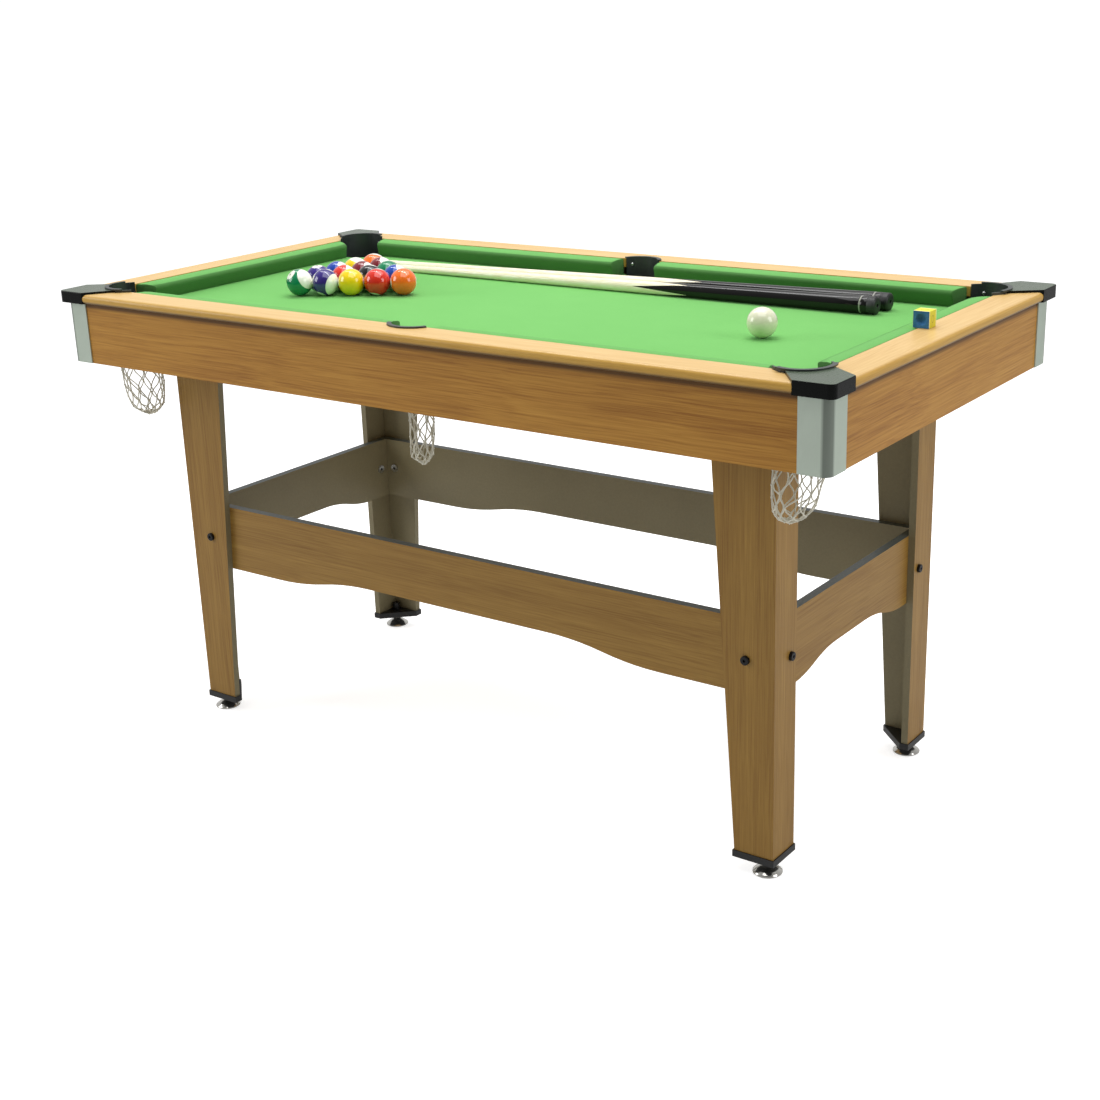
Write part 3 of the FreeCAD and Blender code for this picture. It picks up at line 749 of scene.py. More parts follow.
def piece(
    name: str,
    shape: bmesh.types.BMesh,
    materials: Sequence[bpy.types.Material],
    body: str,
    replaces: Iterable[str] = (),
    smooth: float = 40,
) -> bpy.types.Object:
    """Turns a bmesh into a finished piece of the object.

    Args:
        name: Object name.
        shape: The shape, which is freed.
        materials: Its materials, in slot order.
        body: CAD body it rides on.
        replaces: CAD nodes it stands for.
        smooth: Angle in degrees under which edges are shaded smooth.

    Returns:
        The object.
    """
    mesh = bpy.data.meshes.new(name)
    shape.to_mesh(mesh)
    shape.free()
    mesh.shade_smooth()
    mesh.set_sharp_from_angle(angle=math.radians(smooth))
    made = bpy.data.objects.new(name, mesh)
    bpy.context.scene.collection.objects.link(made)
    for material in materials:
        mesh.materials.append(material)
    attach(made, body)
    nodes = tuple(replaces)
    if nodes:
        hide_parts(*nodes)
    LOG.info("%s: %d faces", name, len(mesh.polygons))
    return made


def dress(node: str, material: bpy.types.Material) -> None:
    """Gives every material slot of a kept CAD node the same finish."""
    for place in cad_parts[node].material_slots:
        place.material = material
    LOG.info("%s keeps its shape", node)


def clean(shape: bmesh.types.BMesh, distance: float = 0.00001) -> None:
    """Merges doubles and turns the faces outwards."""
    bmesh.ops.remove_doubles(shape, verts=shape.verts, dist=distance)
    bmesh.ops.recalc_face_normals(shape, faces=shape.faces)


def section(
    shape: bmesh.types.BMesh, points: Sequence[Point], closed: bool = True
) -> list[bmesh.types.BMVert]:
    """Adds a section line or face from its points.

    Args:
        shape: Where it is added.
        points: Points in order.
        closed: Whether the points bound a face.

    Returns:
        The new vertices.
    """
    verts = [shape.verts.new(point) for point in points]
    if closed:
        shape.faces.new(verts)
    else:
        for first, second in zip(verts, verts[1:]):
            shape.edges.new((first, second))
    return verts


def lathe(points: Sequence[tuple[float, float]], steps: int) -> bmesh.types.BMesh:
    """Spins a half profile round the x axis.

    Args:
        points: Profile as (x, radius), from one end of the axis to the other.
        steps: Segments round the axis.

    Returns:
        The closed shape.
    """
    shape = bmesh.new()
    verts = section(shape, [(x, 0, radius) for x, radius in points], closed=False)
    bmesh.ops.spin(
        shape, geom=verts + list(shape.edges), cent=(0, 0, 0), axis=(1, 0, 0), dvec=(0, 0, 0),
        angle=2 * math.pi, steps=steps, use_merge=True, use_duplicate=False,
    )
    clean(shape)
    return shape


@dataclass
class Cabinet:
    """Rails, aprons, castings, trims, liners and the boards under the cloth."""

    long_parts: Sequence[str] = ("front", "rear")
    short_parts: Sequence[str] = ("left", "right")

    def dress(self) -> None:
        """Finishes the cabinet's CAD nodes."""
        for part in (*self.long_parts, *self.short_parts):
            grain = Axis.X if part in self.long_parts else Axis.Y
            dress(f"rail_{part}", OAK_RAIL.material(f"oak_rail_{part}", grain))
            dress(f"apron_{part}", OAK_CABINET.material(f"oak_apron_{part}", grain, self.inner(part)))
        # top: painted reflection of the overhead light on the castings' upward faces
        casting = Moulded(tint(10, 12, 10), 0.24, shine=0.12, top=tint(84, 96, 80))
        dress("corner_castings", casting.material("casting_plastic"))
        liner = Moulded(tint(44, 50, 48), 0.36).material("liner_plastic")
        dress("corner_liners", liner)
        dress("side_liners", liner)
        # the trims' dark bend is a painted reflection
        dress("corner_trims", Metal(tint(190, 202, 188), 0.4, metallic=0.6, bend=0.42).material("satin_trim"))
        dress("liner_screws", Metal(tint(190, 192, 190), 0.3).material("screw_steel"))
        board = BareBoard().material("bare_board")
        for node in ("bed_board", "bed_supports", "rail_backing"):
            dress(node, board)

    @staticmethod
    def inner(part: str) -> tuple[float, float]:
        """Signs of the faces of one side's boards that look inwards."""
        return {"front": (0, 1), "rear": (0, -1), "left": (1, 0), "right": (-1, 0)}[part]


@dataclass
class Stand:
    """Legs, stretchers, bolts, caps and glides."""

    rows: Sequence[tuple[str, float]] = (("front", -1), ("rear", 1))
    ends: Sequence[tuple[str, float]] = (("left", -1), ("right", 1))

    def dress(self) -> None:
        """Finishes the stand's CAD nodes."""
        chrome = Metal(tint(206, 204, 198), 0.16, brushed=0.05).material("glide_chrome")
        for row, sign_y in self.rows:
            for end, sign_x in self.ends:
                inner = (-sign_x, -sign_y)
                dress(f"leg_{row}_{end}", OAK_LEG.material(f"oak_leg_{row}_{end}", Axis.Z, inner))
                dress(f"glide_{row}_{end}", chrome)
        for part in ("front", "rear", "left", "right"):
            grain = Axis.X if part in ("front", "rear") else Axis.Y
            finish = OAK_LEG.material(f"oak_stretcher_{part}", grain, Cabinet.inner(part), edge_up=True)
            dress(f"stretcher_{part}", finish)
        dress("leg_bolts", Metal(tint(44, 44, 46), 0.4, metallic=0.8).material("black_oxide"))
        dress("leg_nuts", Metal(tint(200, 200, 196), 0.26).material("nut_steel"))
        dress("foot_caps", Moulded(tint(24, 25, 26), 0.4).material("foot_plastic"))


@dataclass
class BedCloth:
    """The cloth stretched and glued over the bed board."""

    thickness: float = 1.0 * MM

    def build(self) -> None:
        """Cuts the cloth round the pockets and lays it on the bed."""
        shape = bmesh.new()
        shape.from_mesh(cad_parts["bed_cloth"].data)
        bmesh.ops.remove_doubles(shape, verts=shape.verts, dist=1e-6)
        shape.normal_update()
        low = [face for face in shape.faces if face.normal.z < 0.9]
        bmesh.ops.delete(shape, geom=low, context="FACES")
        bmesh.ops.dissolve_limit(shape, angle_limit=0.01, verts=shape.verts, edges=shape.edges)
        area = sum(face.calc_area() for face in shape.faces)
        grown = bmesh.ops.extrude_face_region(shape, geom=list(shape.faces))
        moved = [item for item in grown["geom"] if isinstance(item, bmesh.types.BMVert)]
        bmesh.ops.translate(shape, verts=moved, vec=(0, 0, -self.thickness * 0.98))
        bmesh.ops.recalc_face_normals(shape, faces=shape.faces)
        made = piece("cloth_on_bed", shape, [FELT.material("felt_bed")], TABLE, ["bed_cloth"])
        low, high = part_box("bed_cloth")


@dataclass
class Cushions:
    """Six rubber cushions under tight cloth."""

    width: float = 35 * MM
    gap: float = 0.3 * MM
    undercut: float = 6 * MM
    nose_drop: float = 5 * MM
    nose_lip: float = 5 * MM
    crown: float = 0.5 * MM
    long_ends: tuple[float, float] = (612 * MM, 623 * MM)
    side_ends: tuple[float, float] = (46 * MM, 40.5 * MM)
    short_ends: tuple[float, float] = (250 * MM, 266.5 * MM)
    pitch: float = 24 * MM

    def profile(self, low: float, high: float) -> list[tuple[float, float]]:
        """The section as (distance from the wood, height).

        Args:
            low: Height of the cushion's underside.
            high: Height of the rail top.

        Returns:
            The points in order.
        """
        nose = high - self.nose_drop
        return [
            (self.gap, low),
            (self.width - self.undercut, low),
            (self.width - 1.4 * MM, nose - self.nose_lip - 3.2 * MM),
            (self.width, nose - self.nose_lip),
            (self.width, nose - 1.6 * MM),
            (self.width - 1.6 * MM, nose + 0.7 * MM),
            (self.width - 6 * MM, nose + self.nose_drop * 0.45),
            (self.width * 0.5, nose + self.nose_drop * 0.72 + self.crown),
            (3.2 * MM, high - 0.5 * MM),
            (1.2 * MM, high - 1.3 * MM),
            (self.gap, high - 3.4 * MM),
        ]

    def bar(self, start: float, end: float, reach: float, heights: tuple[float, float]) -> bmesh.types.BMesh:
        """A straight cushion along x with its nose towards -y and its back at y = 0.

        Args:
            start: First x, before the ends are cut.
            end: Last x.
            reach: How far the ends overlap what is cut off.
            heights: Underside and rail top.

        Returns:
            The uncut bar.
        """
        shape = bmesh.new()
        points = [(start - reach, -inward, z) for inward, z in self.profile(*heights)]
        section(shape, points)
        count = max(2, round((end - start) / self.pitch))
        step = (end - start + 2 * reach) / count
        region = list(shape.faces)
        for index in range(count):
            grown = bmesh.ops.extrude_face_region(shape, geom=region)
            moved = [item for item in grown["geom"] if isinstance(item, bmesh.types.BMVert)]
            bmesh.ops.translate(shape, verts=moved, vec=(step, 0, 0))
            if index > 0:
                bmesh.ops.delete(shape, geom=region, context="FACES_ONLY")
            region = [item for item in grown["geom"] if isinstance(item, bmesh.types.BMFace)]
        return shape

    @staticmethod
    def cut(shape: bmesh.types.BMesh, nose: Point, back: Point, outward: float) -> None:
        """Cuts one end of a bar along the plane through its nose and back corners.

        Args:
            shape: The bar.
            nose: Nose corner.
            back: Back corner.
            outward: Sign in x of the side that is cut off.
        """
        along = Vector(back) - Vector(nose)
        normal = Vector((along.y, -along.x, 0)).normalized()
        if normal.x * outward < 0:
            normal.negate()
        everything = list(shape.verts) + list(shape.edges) + list(shape.faces)
        bmesh.ops.bisect_plane(
            shape, geom=everything, dist=1e-6, plane_co=nose, plane_no=normal, clear_outer=True
        )
        rim = [edge for edge in shape.edges if edge.is_boundary]
        bmesh.ops.holes_fill(shape, edges=rim, sides=0)

    def finish(self, name: str, node: str, shape: bmesh.types.BMesh, place: Matrix) -> None:
        """Turns a cut bar into a cloth-covered cushion.

        Args:
            name: Piece name.
            node: CAD node it stands for.
            shape: The bar.
            place: Where it goes.
        """
        rims = [edge for edge in shape.edges if edge.is_manifold and edge.calc_face_angle(0) > 1.0]
        bmesh.ops.bevel(
            shape, geom=rims, offset=0.9 * MM, offset_type="OFFSET", segments=2, profile=0.5,
            affect="EDGES", material=-1, clamp_overlap=True,
        )
        bmesh.ops.transform(shape, matrix=place, verts=shape.verts)
        clean(shape)
        # felt with painted shade on the cushion's upright sides
        felt = FELT.material(f"felt_{name}", upright=True)
        made = piece(name, shape, [felt], TABLE, [node], 60)

    def build(self) -> None:
        """Makes the four long and two short cushions."""
        low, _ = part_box("cushion_front_left")
        heights = (low.z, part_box("rail_front")[1].z)
        wood_y = abs(low.y) + self.gap
        wood_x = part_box("cushion_right")[1].x + self.gap
        for row, sign_y in (("front", -1), ("rear", 1)):
            for end, sign_x in (("left", -1), ("right", 1)):
                shape = self.bar(self.side_ends[1], self.long_ends[1], 12 * MM, heights)
                width = self.width
                self.cut(shape, (self.long_ends[0], -width, 0), (self.long_ends[1], 0, 0), 1)
                self.cut(shape, (self.side_ends[0], -width, 0), (self.side_ends[1], 0, 0), -1)
                place = Matrix.Diagonal((sign_x, sign_y, 1, 1)) @ Matrix.Translation((0, wood_y, 0))
                self.finish(f"pad_{row}_{end}", f"cushion_{row}_{end}", shape, place)
        for end, sign_x in (("left", -1), ("right", 1)):
            shape = self.bar(-self.short_ends[1], self.short_ends[1], 12 * MM, heights)
            for side in (-1, 1):
                nose = (side * self.short_ends[0], -self.width, 0)
                back = (side * self.short_ends[1], 0, 0)
                self.cut(shape, nose, back, side)
            turn = Matrix.Rotation(-math.pi / 2, 4, "Z")
            place = Matrix.Diagonal((sign_x, 1, 1, 1)) @ Matrix.Translation((wood_x, 0, 0)) @ turn
            self.finish(f"pad_{end}", f"cushion_{end}", shape, place)


CORNER_FALL = (
    (0, 38.6), (0.16, 38.4), (0.36, 37.2), (0.56, 35.4), (0.74, 32.5), (0.88, 28), (0.955, 20),
    (0.985, 10), (1.0, 2.5),
)
SIDE_FALL = (
    (0, 38), (0.14, 30), (0.29, 22), (0.45, 22.6), (0.62, 22.4), (0.78, 21), (0.9, 18), (0.97, 11),
    (1.0, 2.5),
)


@dataclass
class NetBag:
    """One knotted net hanging under a pocket."""

    name: str
    centre: tuple[float, float]
    stations: Sequence[tuple[float, float]]
    around: int
    seed: int
    lean: tuple[float, float] = (0, 0)
    cord: float = 1.1 * MM
    slack: float = 4.0 * MM
    knots: list[Vector] = field(default_factory=list)

    def knot(self, row: int, column: float, rng: random.Random) -> Vector:
        """One knot of the mesh.

        Args:
            row: Row from the top.
            column: Place round the bag, in meshes.
            rng: Source of the irregular hang.

        Returns:
            The knot's point.
        """
        height, radius = self.stations[row]
        loose = 0 if row == 0 else 1
        angle = column / self.around * 2 * math.pi + loose * rng.uniform(-0.2, 0.2)
        radius = max(1.5 * MM, radius - loose * rng.uniform(0, self.slack))
        height += loose * rng.uniform(-0.5 * self.slack, 0.8 * self.slack)
        top, bottom = self.stations[0][0], self.stations[-1][0]
        share = ((top - height) / (top - bottom)) ** 2
        x, y = (lean * share for lean in self.lean)
        return Vector((math.cos(angle) * radius + x, math.sin(angle) * radius + y, max(height, bottom)))

    def strands(self) -> list[list[Vector]]:
        """The zigzag cords, two for each mesh round the bag."""
        rng = random.Random(self.seed)
        rows = range(len(self.stations))
        knots = {
            (row, column): self.knot(row, column + (row % 2) / 2, rng)
            for row in rows
            for column in range(self.around)
        }
        lines = []
        for column in range(self.around):
            for turn in (0, -1):
                line = []
                for row in rows:
                    place = (column + (turn if row % 2 else 0)) % self.around
                    line.append(knots[(row, place)])
                lines.append(line)
        self.knots = [point for (row, _), point in knots.items() if row > 0]
        return lines

    def cords(self, lines: Sequence[Sequence[Vector]]) -> bpy.types.Curve:
        """One smooth curve for each strand, and the rim cord.

        Args:
            lines: Points of each strand.

        Returns:
            The curve data.
        """
        curve = bpy.data.curves.new(f"{self.name}_cords", "CURVE")
        curve.dimensions = "3D"
        curve.bevel_depth = self.cord
        curve.bevel_resolution = 1
        curve.resolution_u = 3
        curve.use_fill_caps = True
        for line in lines:
            spline = curve.splines.new("BEZIER")
            spline.bezier_points.add(len(line) - 1)
            for index, (point, end) in enumerate(zip(spline.bezier_points, line)):
                before = line[max(0, index - 1)]
                after = line[min(len(line) - 1, index + 1)]
                pull = (after - before) * 0.16
                sag = Vector((0, 0, -0.8 * MM))
                point.co = end
                point.handle_left = end - pull + sag
                point.handle_right = end + pull + sag
        rim = curve.splines.new("NURBS")
        count = 16
        rim.points.add(count - 1)
        height, radius = self.stations[0]
        for index, point in enumerate(rim.points):
            angle = index / count * 2 * math.pi
            point.co = (math.cos(angle) * radius, math.sin(angle) * radius, height, 1)
        rim.use_cyclic_u = True
        rim.order_u = 3
        return curve

    def build(self) -> bmesh.types.BMesh:
        """The knotted bag in place."""
        curve = self.cords(self.strands())
        holder = bpy.data.objects.new(curve.name, curve)
        mesh = bpy.data.meshes.new_from_object(holder)
        shape = bmesh.new()
        shape.from_mesh(mesh)
        bpy.data.objects.remove(holder)
        bpy.data.curves.remove(curve)
        bpy.data.meshes.remove(mesh)
        for point in self.knots:
            size = Matrix.Diagonal((1.0, 1.0, 1.3, 1))
            bmesh.ops.create_icosphere(
                shape, subdivisions=1, radius=self.cord * 1.9, matrix=Matrix.Translation(point) @ size
            )
        bmesh.ops.translate(shape, verts=shape.verts, vec=(*self.centre, 0))
        bmesh.ops.recalc_face_normals(shape, faces=shape.faces)
        return shape


@dataclass
class Nets:
    """The six nets."""

    corner: tuple[float, float] = (660 * MM, 300 * MM)
    side: tuple[float, float] = (0, 308 * MM)
    top: float = 700.6 * MM
    clearance: float = 2 * MM
    leans: Mapping[str, tuple[float, float]] = field(
        default_factory=lambda: {
            "corner_net_front_right": (-14 * MM, -9 * MM),
            "corner_net_front_left": (9 * MM, 4 * MM),
            "side_net_front": (-3 * MM, 2 * MM),
        }
    )

    def build(self) -> None:
        """Hangs every net."""
        twine = Twine().material("net_twine")
        seed = 3
        for row, sign_y in (("front", -1), ("rear", 1)):
            for end, sign_x in (("left", -1), ("right", 1)):
                centre = (self.corner[0] * sign_x, self.corner[1] * sign_y)
                self.hang(f"corner_net_{row}_{end}", centre, CORNER_FALL, 9, seed, twine)
                seed += 1
            centre = (self.side[0], self.side[1] * sign_y)
            self.hang(f"side_net_{row}", centre, SIDE_FALL, 8, seed, twine)
            seed += 1

    def hang(
        self, node: str, centre: tuple[float, float], fall: Sequence[tuple[float, float]],
        around: int, seed: int, twine: bpy.types.Material,
    ) -> None:
        """Hangs one net in the place of its CAD node.

        Args:
            node: The CAD node.
            centre: Middle of the pocket.
            fall: Knot rows as (share of the drop, radius in millimetres).
            around: Meshes round the bag.
            seed: Seed of the irregular hang.
            twine: Finish of the cord.
        """
        drop = self.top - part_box(node)[0].z - self.clearance
        stations = [(self.top - drop * share, radius * MM) for share, radius in fall]
        lean = self.leans.get(node, (2 * MM, 0))
        bag = NetBag(f"knotted_{node}", centre, stations, around, seed, lean)
        piece(bag.name, bag.build(), [twine], TABLE, [node], 180)


@dataclass(frozen=True)
class BallLook:
    """One ball's colour and how it came to rest."""

    number: int
    colour: Colour
    slot: str
    pole: Point
    spot: Point

    @property
    def banded(self) -> bool:
        """Whether it is a striped ball."""
        return self.number > 8


YELLOW = tint(250, 214, 12)
BLUE = tint(16, 66, 168)
RED = tint(222, 44, 26)
PURPLE = tint(52, 34, 124)
ORANGE = tint(255, 112, 26)
GREEN = tint(0, 130, 84)
MAROON = tint(122, 22, 34)
BLACK = tint(14, 14, 15)

BALL_LOOKS = (
    BallLook(14, GREEN, "ball_green", (0.878, 0.127, 0.463), (-0.255, -0.646, 0.718)),
    BallLook(12, PURPLE, "ball_purple", (0.976, 0.113, -0.2), (0.115, 0.431, 0.804)),
    BallLook(1, YELLOW, "ball_yellow", (0, 0, 1), (0.8, 0.6, 0)),
    BallLook(3, RED, "ball_red", (1, 0, 0), (0.05, -0.36, -0.93)),
    BallLook(5, ORANGE, "ball_orange", (0, 0, 1), (0.7, 0.7, 0)),
    BallLook(4, PURPLE, "ball_purple", (1, 0, 0), (0.0, -0.1, 1)),
    BallLook(11, RED, "ball_red", (0.8, 0.5, 0.42), (-0.4, 0.3, 0.8)),
    BallLook(8, BLACK, "ball_black", (1, 0, 0), (0.45, 0.3, 0.85)),
    BallLook(10, BLUE, "ball_blue", (0.72, 0.5, 0.55), (-0.5, 0.6, 0.4)),
    BallLook(2, BLUE, "ball_blue", (0, 1, 0), (0.6, 0.35, 0.72)),
    BallLook(7, MAROON, "ball_maroon", (0, 1, 0), (0.75, 0.1, 0.7)),
    BallLook(6, GREEN, "ball_green", (0, 1, 0), (0.8, 0.5, 0.4)),
    BallLook(9, YELLOW, "ball_yellow", (0.25, 0.35, 0.9), (-0.8, 0.5, 0.1)),
    BallLook(15, MAROON, "ball_maroon", (0.75, 0.3, 0.55), (-0.5, 0.7, 0.3)),
    BallLook(13, ORANGE, "ball_orange", (-0.2, 0.6, 0.75), (0.9, 0.3, 0.1)),
)


@dataclass
class Balls:
    """The cue ball and the fifteen numbered balls."""

    segments: int = 48
    rings: int = 24
    digit: float = 7.6 * MM
    lift: float = 0.05 * MM

    def shell(self, centre: Vector, radius: float) -> bmesh.types.BMesh:
        """A round ball in place."""
        shape = bmesh.new()
        bmesh.ops.create_uvsphere(
            shape, u_segments=self.segments, v_segments=self.rings, radius=radius,
            matrix=Matrix.Translation(centre),
        )
        return shape

    @staticmethod
    def lie(look: BallLook) -> Matrix:
        """The ball's turn: x through a number disc, z through the band's axis."""
        pole = Vector(look.pole).normalized()
        spot = Vector(look.spot)
        spot = (spot - pole * spot.dot(pole)).normalized()
        side = pole.cross(spot)
        return Matrix((spot, side, pole)).transposed()

    def numeral(
        self, look: BallLook, centre: Vector, radius: float, ink: bpy.types.Material
    ) -> bpy.types.Object:
        """The printed numeral on both discs, wrapped on the ball.

        Args:
            look: The ball.
            centre: Its centre.
            radius: Its radius.
            ink: Finish of the print.

        Returns:
            The piece.
        """
        text = bpy.data.curves.new("numeral", "FONT")
        text.body = str(look.number)
        text.size = self.digit if look.number < 10 else self.digit * 0.86
        text.align_x = "CENTER"
        text.align_y = "CENTER"
        text.resolution_u = 2
        holder = bpy.data.objects.new("numeral", text)
        flat = bpy.data.meshes.new_from_object(holder)
        bpy.data.objects.remove(holder)
        shape = bmesh.new()
        for side in (1, -1):
            before = len(shape.verts)
            shape.from_mesh(flat)
            shape.verts.ensure_lookup_table()
            fresh_verts = shape.verts[before:]
            for vert in fresh_verts:
                vert.co.z = side
        bpy.data.meshes.remove(flat)
        bmesh.ops.triangulate(shape, faces=shape.faces)
        for _ in range(2):
            long_edges = [edge for edge in shape.edges if edge.calc_length() > 1.3 * MM]
            bmesh.ops.subdivide_edges(shape, edges=long_edges, cuts=1)
            bmesh.ops.triangulate(shape, faces=shape.faces)
        turn = self.lie(look)
        for vert in shape.verts:
            side = 1 if vert.co.z > 0 else -1
            direction = Vector((side * radius, side * vert.co.x, vert.co.y)).normalized()
            vert.co = turn @ (direction * (radius + self.lift)) + centre
        name = f"numeral_{look.number:02d}"
        return piece(name, shape, [ink], f"ball_{look.number:02d}_body")

    def build(self) -> None:
        """Makes and places every ball."""
        ink = Moulded(tint(20, 20, 22), 0.3, scuff=0).material("numeral_ink")
        for look in BALL_LOOKS:
            node = f"ball_{look.number:02d}"
            low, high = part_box(node)
            centre = (low + high) / 2
            radius = (high.z - low.z) / 2
            resin = Resin(look.colour, look.banded)
            finish = resin.material(f"resin_{look.number:02d}", centre, self.lie(look).to_euler(), radius)
            name = f"round_{look.number:02d}"
            piece(name, self.shell(centre, radius), [finish], f"{node}_body", [node], 180)
            self.numeral(look, centre, radius, ink)
        low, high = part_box("ball_cue")
        centre = (low + high) / 2
        radius = (high.z - low.z) / 2
        resin = Resin(tint(236, 232, 206), numbered=False)
        finish = resin.material("resin_cue_ball", centre, Euler((0, 0, 0)), radius)
        shell = self.shell(centre, radius)
        piece("round_cue_ball", shell, [finish], "ball_cue_body", ["ball_cue"], 180)


@dataclass
class Cues:
    """Two cues lying side by side on the cloth."""

    length: float = 1067 * MM
    butt_radius: float = 14.5 * MM
    tip_radius: float = 5.5 * MM
    bumper: float = 14 * MM
    ferrule: float = 14 * MM
    tip: float = 8 * MM
    turn: float = math.radians(0.76)
    steps: int = 40
    butts: Mapping[str, tuple[float, float]] = field(
        default_factory=lambda: {"cue_front": (532.7 * MM, 188.9 * MM), "cue_rear": (537.3 * MM, 226.5 * MM)}
    )

    def radius(self, back: float) -> float:
        """Radius at a distance from the butt end."""
        return self.butt_radius - (self.butt_radius - self.tip_radius) * back / self.length

    def profile(self) -> list[tuple[float, float]]:
        """Bumper hole, bumper, butt, joint grooves, shaft, ferrule and rounded tip."""
        points = [(-7 * MM, 0), (-7 * MM, 2.6 * MM), (-0.8 * MM, 3 * MM), (0, 3.8 * MM), (0, 11.2 * MM)]
        points += [(-0.7 * MM, 13 * MM), (-2.4 * MM, self.radius(2.4 * MM) - 0.15 * MM)]
        groove = 0.25 * MM
        for place in (self.bumper, 25 * MM, 28 * MM):
            points += [(-place + 0.5 * MM, self.radius(place)), (-place, self.radius(place) - groove)]
            points += [(-place - 0.5 * MM, self.radius(place))]
        for index in range(1, 24):
            place = 28 * MM + (self.length - self.ferrule - self.tip - 28 * MM) * index / 24
            points.append((-place, self.radius(place)))
        for place in (self.length - self.ferrule - self.tip, self.length - self.tip):
            points += [(-place + 0.4 * MM, self.radius(place)), (-place, self.radius(place) - 0.12 * MM)]
            points += [(-place - 0.4 * MM, self.radius(place))]
        for share, drop in ((0.55, 0.25), (0.85, 1.1), (1.0, 2.6)):
            points.append((-self.length + self.tip * (1 - share), self.tip_radius - drop * MM))
        points.append((-self.length, 0))
        return points

    def build(self) -> None:
        """Turns both cues and lays them down."""
        rubber = Moulded(tint(26, 27, 28), 0.45).material("bumper_rubber")
        ferrule = Moulded(tint(226, 220, 200), 0.3, scuff=0.1).material("ferrule_plastic")
        leather = Moulded(tint(46, 84, 120), 0.85, grain=1800, depth=0.0002).material("tip_leather")
        for node, (x, y) in self.butts.items():
            cloth_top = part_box("bed_cloth")[1].z
            butt = Vector((x, y, cloth_top + 0.3 * MM + self.butt_radius))
            slope = math.atan((self.butt_radius - self.tip_radius) / self.length)
            turn = Matrix.Rotation(self.turn, 4, "Z") @ Matrix.Rotation(-slope, 4, "Y")
            shape = lathe(self.profile(), self.steps)
            ends = (self.bumper, self.length - self.ferrule - self.tip, self.length - self.tip)
            for face in shape.faces:
                back = -face.calc_center_median().x
                if back < ends[0]:
                    face.material_index = 1
                elif back > ends[2]:
                    face.material_index = 3
                elif back > ends[1]:
                    face.material_index = 2
            bmesh.ops.transform(shape, matrix=Matrix.Translation(butt) @ turn, verts=shape.verts)
            lacquer = CueLacquer().material(f"lacquer_{node}", butt, turn.to_euler())
            finishes = [lacquer, rubber, ferrule, leather]
            piece(f"turned_{node}", shape, finishes, f"{node}_body", [node], 35)


@dataclass
class Chalk:
    """A worn chalk cube in a paper sleeve."""

    side: float = 25 * MM
    paper: float = 0.2 * MM
    dimple_radius: float = 9 * MM
    dimple_depth: float = 6 * MM
    cuts: int = 25

    def build(self) -> None:
        """Makes the cube and its sleeve."""
        low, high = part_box("chalk")
        centre = (low + high) / 2
        centre.z = low.z + self.side / 2
        place = Matrix.Translation(centre)
        self.cube(place)
        self.sleeve(place, centre)

    def cube(self, place: Matrix) -> None:
        """The chalk itself, hollowed on the side that is used."""
        shape = bmesh.new()
        core = self.side - 2 * self.paper
        bmesh.ops.create_cube(shape, size=core)
        shape.normal_update()
        worn = [face for face in shape.faces if face.normal.y < -0.9]
        edges = [edge for face in worn for edge in face.edges]
        bmesh.ops.subdivide_edges(shape, edges=edges, cuts=self.cuts, use_grid_fill=True)
        reach = math.sqrt(self.dimple_radius**2 - (self.dimple_radius - self.dimple_depth) ** 2)
        for vert in shape.verts:
            if vert.co.y > -core / 2 + 1e-6:
                continue
            away = math.hypot(vert.co.x, vert.co.z)
            if away < reach:
                bowl = math.sqrt(self.dimple_radius**2 - away**2) - (self.dimple_radius - self.dimple_depth)
                vert.co.y += bowl
            elif max(abs(vert.co.x), abs(vert.co.z)) < core / 2 - 1e-6:
                vert.co.y += 0.25 * MM * (noise.noise(vert.co * 400) + 0.6)
        rims = [edge for edge in shape.edges if edge.is_manifold and edge.calc_face_angle(0) > 1.2]
        bmesh.ops.bevel(
            shape, geom=rims, offset=0.35 * MM, offset_type="OFFSET", segments=2, profile=0.5,
            affect="EDGES", material=-1, clamp_overlap=True,
        )
        bmesh.ops.transform(shape, matrix=place, verts=shape.verts)
        clean(shape, 1e-6)
        dust = ChalkDust().material("blue_chalk")
        piece("chalk_block", shape, [dust], "chalk_body", ["chalk"], 50)

    def sleeve(self, place: Matrix, centre: Vector) -> None:
        """The paper label glued round four sides."""
        shape = bmesh.new()
        bmesh.ops.create_cube(shape, size=self.side)
        bmesh.ops.scale(shape, vec=(1, 0.965, 1), verts=shape.verts)
        long_edges = [e for e in shape.edges if abs((e.verts[0].co - e.verts[1].co).normalized().y) > 0.9]
        bmesh.ops.bevel(
            shape, geom=long_edges, offset=0.5 * MM, offset_type="OFFSET", segments=3, profile=0.5,
            affect="EDGES", material=-1, clamp_overlap=True,
        )
        shape.normal_update()
        caps = [face for face in shape.faces if abs(face.normal.y) > 0.9]
        bmesh.ops.delete(shape, geom=caps, context="FACES_ONLY")
        bmesh.ops.solidify(shape, geom=list(shape.faces), thickness=self.paper * 0.8)
        bmesh.ops.transform(shape, matrix=place, verts=shape.verts)
        bmesh.ops.recalc_face_normals(shape, faces=shape.faces)
        finish = LabelPaper().material("yellow_label", centre, Euler((0, 0, 0)), self.side / 2)
        piece("chalk_label", shape, [finish], "chalk_body", [], 50)


# ---------------------------------------------------------------- studio


